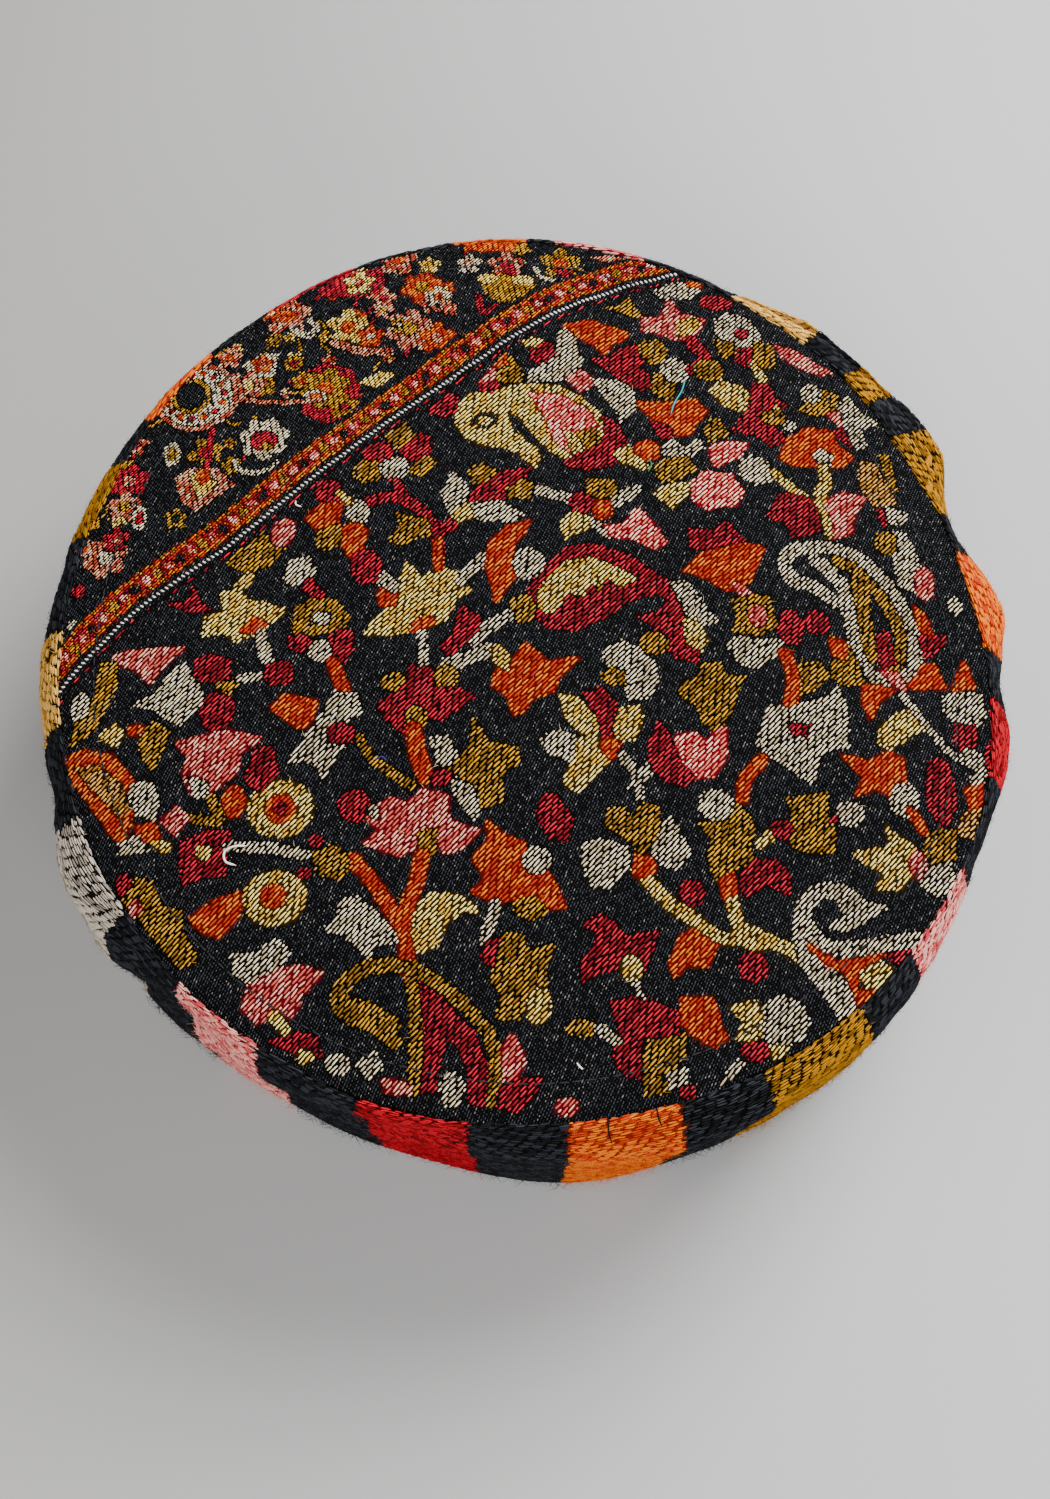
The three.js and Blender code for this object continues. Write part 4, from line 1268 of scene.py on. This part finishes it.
black = yarnIndex["black"]
cornerStart = -0.5             # the corner's finer floats start this far before the border, in mm


def inCorner(x, y):
    return borderSide(x, y) >= cornerStart


made = layFloats("crown_yarn", crownPoint, crownFloats, chartHalf, chartHalf, chartAt,
                 lambda x, y: onCrown(x, y) & ~inCorner(x, y) & (chartAt(x, y) != black), "crown_cloth")
made += layFloats("corner_yarn", crownPoint, cornerFloats, chartHalf, chartHalf, chartAt,
                  lambda x, y: onCrown(x, y) & inCorner(x, y) & (chartAt(x, y) != black), "crown_cloth")
# The ground's specks take the black yarn's shades; most are the greys that paint its highlights.
made += layFloats("ground_yarn", crownPoint, groundFloats, chartHalf, chartHalf, chartAt,
                  lambda x, y: onCrown(x, y) & (chartAt(x, y) == black), "crown_cloth", 4, speckSteps)
print("stage 4: crown floats", made)
halfRun = bandOuterEnd / 2
seamClear = 2.5                # the band's floats start this far down from the seam, in mm
made = layFloats("band_yarn", lambda u, v: bandFace(u, v + halfRun), bandFloats, around / 2, halfRun,
                 lambda u, v: bandYarnAt(u, v + halfRun), lambda u, v: v + halfRun > seamClear, "band_cloth")
print("stage 5: band floats", made)


# The twisted line beside the border: white and black strands in turn.
def makeCordLine():
    line = smoothPath(borderLine[::7].ravel(), 30)
    run = np.concatenate([[0], np.cumsum(np.hypot(*np.diff(line, axis=0).T))])
    at = np.arange(0, run[-1], borderOptions["cordStep"])
    x, y = np.interp(at, run, line[:, 0]), np.interp(at, run, line[:, 1])
    heading = np.arctan2(np.gradient(y), np.gradient(x)) - math.radians(borderOptions["cordTurn"])
    direction = np.stack([np.cos(heading), np.sin(heading)], -1)
    white = np.arange(len(x)) % 2 == 0
    points = yarnPoints(floatSteps, crownPoint, x, y, direction, np.where(white, 0.44, 0.5),
                        np.full(len(x), borderOptions["cord"]), np.where(white, 0.26, 0.2))
    keep = onCrown(x, y)
    pale = yarnMaterial(borderOptions["cordWhite"], "cord_white")
    dark = yarnMaterial(borderOptions["cordBlack"], "cord_black")
    floatPiece("border_cord_white", points[keep & white], pale, "crown_cloth")
    floatPiece("border_cord_black", points[keep & ~white], dark, "crown_cloth")


makeCordLine()


# The inside layers: gaps and thicknesses in mm, the share of the crown that each disc reaches, and the two
# ends of each strip, as mm down the band's profile and mm above the rim.
insideOptions = {"interliningGap": 1.1, "interlining": 0.7, "liningGap": 2.3, "lining": 0.5,
                 "interliningReach": 0.972, "liningReach": 0.965, "liningRim": 0.958,
                 "stiffenerEnds": (17, 3.0), "liningEnds": (15, 13.0),
                 "feltShades": ("#4c4a46", "#8a867e"), "liningShades": ("#0d0e12", "#24262e"),
                 "sweatShades": ("#17110c", "#33261c"),
                 "rings": 60, "rows": 50, "crownColumns": 240, "columns": 300,
                 "sweatRadius": 90.9, "sweatThickness": 0.9, "sweatLow": 1.6, "sweatHigh": 31.5}


# Plain weave: crossing threads worked out from height and from the angle round the cap.
def plainCloth(name, dark, light, threadSize, roughness, sheen=0.2, depth=0.05):
    m = Maker(name)
    x, y, z = m.place()
    over = (y.maths("ARCTAN2", x) * (crownRadius * 2 * math.pi / threadSize)).sine()
    radius = (x * x + y * y) ** 0.5
    up = ((z + radius) * (2 * math.pi / threadSize)).sine()
    weave = (over * up) * 0.5 + 0.5
    grain = m.noise(1.3, 3.0, 0.6)
    patch = m.noise(25, 2.0)
    m.set(Base_Color=m.mix((weave * 0.45 + grain * 0.35 + patch * 0.3).clamp(), colour(dark), colour(light)),
          Roughness=roughness + 0.15 * grain, Sheen_Weight=sheen, Specular_IOR_Level=0.3)
    m.bump(weave + grain * 0.6, depth)
    return m.material


def feltMaterial(name, dark, light):
    m = Maker(name)
    fibre, patch = m.noise(0.7, 4.0, 0.7), m.noise(9, 2.0)
    m.set(Base_Color=m.mix((fibre * 0.7 + patch * 0.3).clamp(), colour(dark), colour(light)),
          Roughness=0.85 + 0.1 * fibre, Sheen_Weight=0.3, Specular_IOR_Level=0.2)
    m.bump(fibre, 0.15)
    return m.material


# A layer behind the crown, out to that share of its radius.
def crownLayer(name, gap, thickness, edge, material, slotName, node, wrinkle=0.0):
    shares = np.linspace(0.01, 1.0, insideOptions["rings"]) * edge
    x, y, top, normal = crownGrid(shares, insideOptions["crownColumns"], 0.3)
    folds = wrinkle * (crownPuckers.at(x * 0.7 + 9, y * 0.7) * 3 + crownLumps.at(y, x) * 0.6)
    shift = (gap + np.abs(folds))[..., None]
    obj = shell(name, top - normal * shift, top - normal * (shift + thickness), centre=True)
    return dress(obj, material, slotName, node)


# A layer behind the band, between its ends. upTo gives a ring under the crown, which it reaches up to.
def bandLayer(name, gap, thickness, ends, material, slotName, node, wrinkle=0.0, upTo=None):
    rows = np.linspace(ends[0], rimRun - ends[1], insideOptions["rows"])
    u, v, top, normal = bandGrid(rows, insideOptions["columns"])
    folds = wrinkle * np.abs(bandPuckers.at(u * 0.5, v * 0.3) * 4 + bandLumps.at(v, u))
    shift = (gap + folds)[..., None]
    top, bottom = top - normal * shift, top - normal * (shift + thickness)
    if upTo is not None:
        share = np.linspace(0, 1, 12, endpoint=False)[:, None, None]
        angle = -u[0] / rimRadius
        outer = upTo(angle)
        inward = np.stack([-0.9 * np.cos(angle), -0.9 * np.sin(angle), 0 * angle - 0.43], -1)
        inner = outer + thickness * inward
        top = np.concatenate([outer + (top[0] - outer) * share, top])
        bottom = np.concatenate([inner + (bottom[0] - inner) * share, bottom])
    return dress(shell(name, top, bottom), material, slotName, node)


# Ring just under the rim of the crown's inner cloth.
def liningRim(a):
    r = insideOptions["liningRim"] * seamRadius(a)
    ring = crownPoint(r * np.cos(a), r * np.sin(a))
    return ring - np.array([0, 0, insideOptions["liningGap"] + insideOptions["lining"] + 0.6])


def makeInside():
    o = insideOptions
    felt = feltMaterial("felt_grey", *o["feltShades"])
    cotton = plainCloth("lining_cotton", *o["liningShades"], 0.55, 0.55)
    sweatCloth = plainCloth("sweatband_twill", *o["sweatShades"], 0.8, 0.62, 0.3, 0.08)
    interlining = crownLayer("crown_felt", o["interliningGap"], o["interlining"], o["interliningReach"],
                             felt, "interlining", "crown_interlining")
    lining = crownLayer("crown_inner_cloth", o["liningGap"], o["lining"], o["liningReach"], cotton,
                        "lining", "crown_lining", 1.0)
    stiffener = bandLayer("band_felt", o["interliningGap"], o["interlining"], o["stiffenerEnds"], felt,
                          "interlining", "band_stiffener")
    bandInner = bandLayer("band_inner_cloth", o["liningGap"], o["lining"], o["liningEnds"], cotton,
                          "lining", "band_lining", 0.8, liningRim)
    return interlining, lining, stiffener, bandInner, sweatCloth


interlining, crownInner, stiffener, bandInner, sweatCloth = makeInside()


# A turned strip with rounded edges, softly waved where the head has stretched it.
def makeSweatband():
    o = insideOptions
    rows, columns = 26, 360
    height = np.linspace(0, 1, rows)[:, None]
    a = (np.arange(columns) * 2 * np.pi / columns)[None]
    z = o["sweatLow"] + (o["sweatHigh"] - o["sweatLow"]) * height + 0 * a
    ripple = np.sin(9 * a + 0.6) + 0.6 * np.sin(17 * a + 2 * height) + 0.4 * np.sin(31 * a)
    wave = 0.35 * height ** 1.5 * ripple
    roll = 0.35 * np.clip(1 - height / 0.08, 0, 1) + 0.3 * np.clip((height - 0.94) / 0.06, 0, 1)
    outer = o["sweatRadius"] + wave - 0.9 * height ** 2 - roll - squeeze(a)
    inner = outer - o["sweatThickness"] + 1.4 * roll
    z = z + 0.35 * np.sin(5 * a + 1) * height
    outside = np.stack([outer * np.cos(a), outer * np.sin(a), z], -1)
    inside = np.stack([inner * np.cos(a), inner * np.sin(a), z], -1)
    obj = shell("sweatband_cloth", outside[::-1], inside[::-1])
    return dress(obj, sweatCloth, "sweatband", "sweatband")


sweatPiece = makeSweatband()
print("stage 6: inside layers made")


def threadMaterial(code, name):
    m = Maker(name)
    x, y, z = m.place()
    ply = ((x + y * 1.3 + z * 1.7) * (2 * math.pi / 0.45)).sine() * 0.5 + 0.5
    fibre = m.noise(0.2, 2.0)
    m.set(Base_Color=m.mix((ply * 0.6 + fibre * 0.4).clamp(), colour(code), colour("#2c2c30")),
          Roughness=0.6 + 0.2 * fibre, Specular_IOR_Level=0.15)
    m.bump(ply, 0.05)
    return m.material


# Closed tubes along paths (count, steps, 3) in mm, with a radius at each step.
def tubes(name, paths, radii, material, slotName, sides=6, nodes=()):
    paths = np.asarray(paths, float)
    count, steps = paths.shape[:2]
    radii = np.broadcast_to(np.asarray(radii, float), (count, steps))
    tangent = np.gradient(paths, axis=1)
    tangent /= np.maximum(np.linalg.norm(tangent, axis=-1, keepdims=True), 1e-9)
    guide = np.where(np.abs(tangent[..., 2:3]) < 0.8, [0.0, 0.0, 1.0], [1.0, 0.0, 0.0])
    first = np.cross(tangent, guide)
    first /= np.linalg.norm(first, axis=-1, keepdims=True)
    second = np.cross(tangent, first)
    a = np.arange(sides) * 2 * np.pi / sides
    ring = (first[:, :, None] * np.cos(a)[:, None] + second[:, :, None] * np.sin(a)[:, None])
    points = paths[:, :, None] + ring * radii[:, :, None, None]
    wall = gridFaces(steps, sides)
    base = (np.arange(count) * steps * sides)[:, None, None]
    caps = np.stack([np.arange(sides), (steps - 1) * sides + np.arange(sides)[::-1]])
    faces = [(wall + base).reshape(-1, 4), (caps[:, ::-1] + base).reshape(-1, sides)]
    return dress(makeMesh(name, points.reshape(-1, 3), faces), material, slotName, *nodes)


stitchSpan = np.linspace(-0.5, 0.5, 7)    # where the seven sections of a stitch lie along it


# Stitches round the cap; at(angle) gives points and outward directions.
def stitchRow(name, at, count, length, radius, rise, material, node):
    a = np.arange(count) * 2 * np.pi / count
    spread = a[:, None] + stitchSpan * length * 2 * np.pi / count
    points, out = at(spread.ravel())
    arch = np.tile(rise * (1 - (2 * stitchSpan) ** 2) - 0.6 * rise, count)
    paths = (points + out * arch[:, None]).reshape(count, len(stitchSpan), 3)
    thick = radius * np.array([0.55, 0.9, 1, 1, 1, 0.9, 0.55])
    return tubes(name, paths, thick, material, "thread", nodes=(node,))


def onCrownRing(inset, lift):
    def at(a):
        r = seamRadius(a) - inset
        points, normal = normalsOf(crownPoint, r * np.cos(a), r * np.sin(a), 0.2, 0.2)
        return points + normal * lift, normal
    return at


# A row s mm down the band, gap mm behind its face; stitches stand proud to the inside.
def onBandRow(s, gap):
    def at(a):
        points, normal = normalsOf(bandFace, -a * rimRadius, np.full(len(a), s), 0.3, 0.3)
        return points - normal * gap, -normal
    return at


def onSweatRow(z):
    def at(a):
        r = insideOptions["sweatRadius"] - insideOptions["sweatThickness"] - squeeze(a)
        away = np.stack([np.cos(a), np.sin(a), 0 * a], -1)
        return away * r[:, None] + np.array([0, 0, z]), -away
    return at


# Rows of stitches round the cap: how many, share of the pitch that a stitch fills, radius and rise in mm.
stitchOptions = {
    "crown_topstitches": (216, 0.72, 0.17, 0.18), "crown_seam_stitches": (290, 0.75, 0.18, 0.3),
    "lining_stitches": (250, 0.7, 0.17, 0.25), "sweatband_stitches": (230, 0.7, 0.17, 0.25),
    "hem_stitches": (180, 0.6, 0.17, 0.2)}
threadColours = {"black": "#0c0d10", "brown": "#241b14"}
joinOptions = {"count": 18, "low": 16, "high": 52, "length": 1.4, "angle": 92.0, "depth": 1.35,
               "radius": 0.16}


def makeStitches():
    darkThread = threadMaterial(threadColours["black"], "thread_black")
    brownThread = threadMaterial(threadColours["brown"], "thread_brown")
    rows = (("crown_topstitches", onCrownRing(7.0, 0.12), darkThread, "crown_topstitch_thread"),
            ("crown_seam_stitches", onBandRow(1.0, 1.3), darkThread, "crown_seam_thread"),
            ("lining_stitches", onBandRow(5.5, 3.1), darkThread, "lining_seam_thread"),
            ("sweatband_stitches", onSweatRow(4.0), brownThread, "sweatband_thread"),
            ("hem_stitches", onBandRow(rimRun - 12.0, 1.25), darkThread, "hem_thread"))
    for name, at, material, node in rows:
        stitchRow(name, at, *stitchOptions[name], material, node)
    o = joinOptions
    z = np.linspace(o["low"], o["high"], o["count"])[:, None] + stitchSpan * o["length"]
    u = np.full(z.size, -math.radians(o["angle"]) * rimRadius)
    points, normal = normalsOf(bandFace, u, (rimRun - z).ravel(), 0.3, 0.3)
    paths = (points - normal * o["depth"]).reshape(o["count"], len(stitchSpan), 3)
    tubes("band_join_stitches", paths, o["radius"], darkThread, "thread", nodes=("band_join_thread",))


makeStitches()


# A loose thread lying on the crown along the points, lifted by rise mm in the middle.
def loose(name, code, numbers, rise, radius):
    line = smoothPath(numbers, 9)
    points, normal = normalsOf(crownPoint, line[:, 0], line[:, 1], 0.2, 0.2)
    t = np.linspace(0, 1, len(line))
    points = points + normal * (0.25 + rise * np.sin(np.pi * t))[:, None]
    thick = radius * np.clip(np.minimum(t, 1 - t) * 12, 0.35, 1)
    tubes(name, points[None], thick[None], yarnMaterial(code, name + "_yarn"), "thread")


# A thread tail hanging from the seam over the band.
def looseOnBand(name, code, u, v0, v1, radius):
    t = np.linspace(0, 1, 14)
    points, normal = normalsOf(bandFace, u + 0.5 * np.sin(3 * t), v0 + (v1 - v0) * t, 0.2, 0.2)
    points = points + normal * (0.3 + 0.5 * t * t)[:, None]
    thick = radius * np.clip((1 - t) * 8, 0.3, 1)
    tubes(name, points[None], thick[None], yarnMaterial(code, name + "_yarn"), "thread")


def makeLooseThreads():
    looseOnBand("seam_tail_left", "#050507", 133.0, 3.6, 10.5, 0.16)
    looseOnBand("seam_tail_right", "#050507", 123.6, 3.6, 8.6, 0.16)
    loose("stray_blue", "#1c8f92", [30.2, 50.5, 31, 53, 32.5, 56, 33.6, 59.8], 0.9, 0.16)
    loose("stray_green", "#2f6f45", [25.2, 36.2, 25.8, 37.6, 25.4, 39.4], 0.5, 0.13)
    loose("white_loop", "#ece6da", [-54, -44.6, -56.0, -43.8, -56.2, -42.0, -54.4, -41.0, -52, -41.0],
          0.3, 0.2)
    loose("stray_white", "#f0ece2", [9.8, -81.2, 10.3, -81.9, 10.9, -82.4], 0.25, 0.15)
    loose("stray_navy", "#2a2f66", [-28, -24.6, -26.8, -24.2, -25.9, -24.9], 0.3, 0.12)
    loose("white_loop_small", "#ece6da", [-45.6, 30.2, -45.4, 29.2, -44.4, 28.8], 0.3, 0.14)


makeLooseThreads()


fuzzOptions = {"crown": 1800, "crownReach": 93, "band": 17000, "radius": 0.042, "length": (0.8, 2.9)}


# Fine fibres standing off the cloth, one piece for each yarn.
def fuzz(title, surface, u, v, length, codes, slotName):
    points, normal = normalsOf(surface, u, v, 0.2, 0.2)
    drift = random.normal(0, 1, points.shape)
    drift -= (drift * normal).sum(-1, keepdims=True) * normal
    drift /= np.linalg.norm(drift, axis=-1, keepdims=True)
    curl = np.cross(drift, normal)
    t = np.linspace(0, 1, 5)[None, :, None]
    size = length[:, None, None]
    bend = random.uniform(-0.6, 0.6, (len(u), 1, 1))
    paths = points[:, None] + size * (normal[:, None] * (t * 0.75 - 0.25 * t * t) + drift[:, None] * t * 0.7
                                      + curl[:, None] * bend * t * t)
    thick = fuzzOptions["radius"] * np.array([1, 0.9, 0.75, 0.55, 0.25])
    for code in np.unique(codes):
        pick = codes == code
        if pick.sum() < 4:
            continue
        yarn = yarnNames[code]
        shade = next(iter(yarns[yarn]["shades"]))
        tubes(f"{title}_{yarn}", paths[pick], thick, yarnMaterial(shade, f"yarn_{yarn}_1"), slotName, sides=3)


def makeFuzz():
    o = fuzzOptions
    r, a = o["crownReach"] * np.sqrt(random.random(o["crown"])), random.uniform(0, 2 * np.pi, o["crown"])
    x, y = r * np.cos(a), r * np.sin(a)
    short = random.uniform(*o["length"], len(x)) * 0.6
    fuzz("crown_fuzz", crownPoint, x, y, short, chartAt(x, y), "crown_cloth")
    u = random.uniform(-around / 2, around / 2, o["band"])
    v = 3 + (rimRun - 3) * random.random(o["band"]) ** 1.1
    long = random.uniform(*o["length"], len(u)) * (0.5 + 0.9 * v / rimRun)
    fuzz("band_fuzz", bandFace, u, v, long, bandYarnAt(u, v), "band_cloth")


makeFuzz()
print("stage 7: stitches, threads and fuzz made")


# The sizes that the cloths were cut to, in metres.
cutOptions = {"crown": 0.191, "bandLength": 2 * math.pi * 0.0965, "crownLining": 0.184, "bandLining": 0.585,
              "bandLiningWidth": (rimRun - 15) * mm, "sweatband": (0.568, 0.030)}


def discArea(across):
    return math.pi * (across / 2) ** 2


c = cutOptions
discArea(c["crown"])
discArea(c["crownLining"])


viewOptions = {"target": (0, 0, 75), "distance": 400, "elevation": 68, "lens": 48.53,
               "shift": (0.00124, -0.065)}
lightOptions = {"key": ((320, 300, 620), 420, 12.0), "fill": ((-420, -260, 560), 600, 3.0),
                "front": ((120, -520, 420), 420, 3.2), "aim": (0, 0, 60), "world": 0.4,
                "worldColour": "#e6e6ea"}
# The floor's two shades are painted shade and painted light: the paper is darker towards -x and lighter
# towards +x.
floorOptions = {"half": 4000, "shades": ("#908e8b", "#b0b0b0"), "shadeFade": (-190, 130), "stray": 30}


# Paper that goes from its first shade to its second between two places across it, in mm; the darker side
# towards -x is painted shade of uneven light across the floor.
def shadedFloorMaterial():
    o = floorOptions
    first, second = o["shades"]
    m = Maker("floor_paper")
    x = m.place()[0]
    patch, grain = m.noise(400, 2.0), m.noise(1.5, 3.0)
    side = (x + o["stray"] * patch).step(*o["shadeFade"])
    m.set(Base_Color=m.mix(side, colour(first), colour(second)), Roughness=0.8 + 0.1 * grain,
          Specular_IOR_Level=0.15)
    return m.material


def makeStage():
    half = floorOptions["half"]
    corners = [[-half, -half, 0], [half, -half, 0], [half, half, 0], [-half, half, 0]]
    floor = makeMesh("floor", np.array(corners), np.array([[0, 1, 2, 3]]), smooth=False)
    floor.data.materials.append(shadedFloorMaterial())


def makeLights():
    for name in ("key", "fill", "front"):
        place, size, power = lightOptions[name]
        lamp = bpy.data.lights.new(name + "_light", "AREA")
        lamp.energy, lamp.size, lamp.shape = power, size * mm, "DISK"
        obj = bpy.data.objects.new(name + "_light", lamp)
        obj.location = Vector(place) * mm
        toward = Vector(lightOptions["aim"]) * mm - obj.location
        obj.rotation_euler = toward.to_track_quat("-Z", "Y").to_euler()
        bpy.context.scene.collection.objects.link(obj)
    world = bpy.data.worlds.new("soft_room")
    world.use_nodes = True
    world.node_tree.nodes["Background"].inputs[0].default_value = colour(lightOptions["worldColour"])
    world.node_tree.nodes["Background"].inputs[1].default_value = lightOptions["world"]
    bpy.context.scene.world = world


def makeCamera():
    o = viewOptions
    camera = bpy.data.cameras.new("view")
    camera.sensor_fit, camera.sensor_width, camera.sensor_height = "AUTO", 36, 36
    camera.lens, (camera.shift_x, camera.shift_y) = o["lens"], o["shift"]
    camera.clip_end = 20
    obj = bpy.data.objects.new("view", camera)
    tilt = math.radians(o["elevation"])
    target = Vector(o["target"]) * mm
    obj.location = target + Vector((0, -math.cos(tilt), math.sin(tilt))) * o["distance"] * mm
    obj.rotation_euler = (target - obj.location).to_track_quat("-Z", "Y").to_euler()
    bpy.context.scene.collection.objects.link(obj)
    bpy.context.scene.camera = obj


makeStage()
makeLights()
makeCamera()
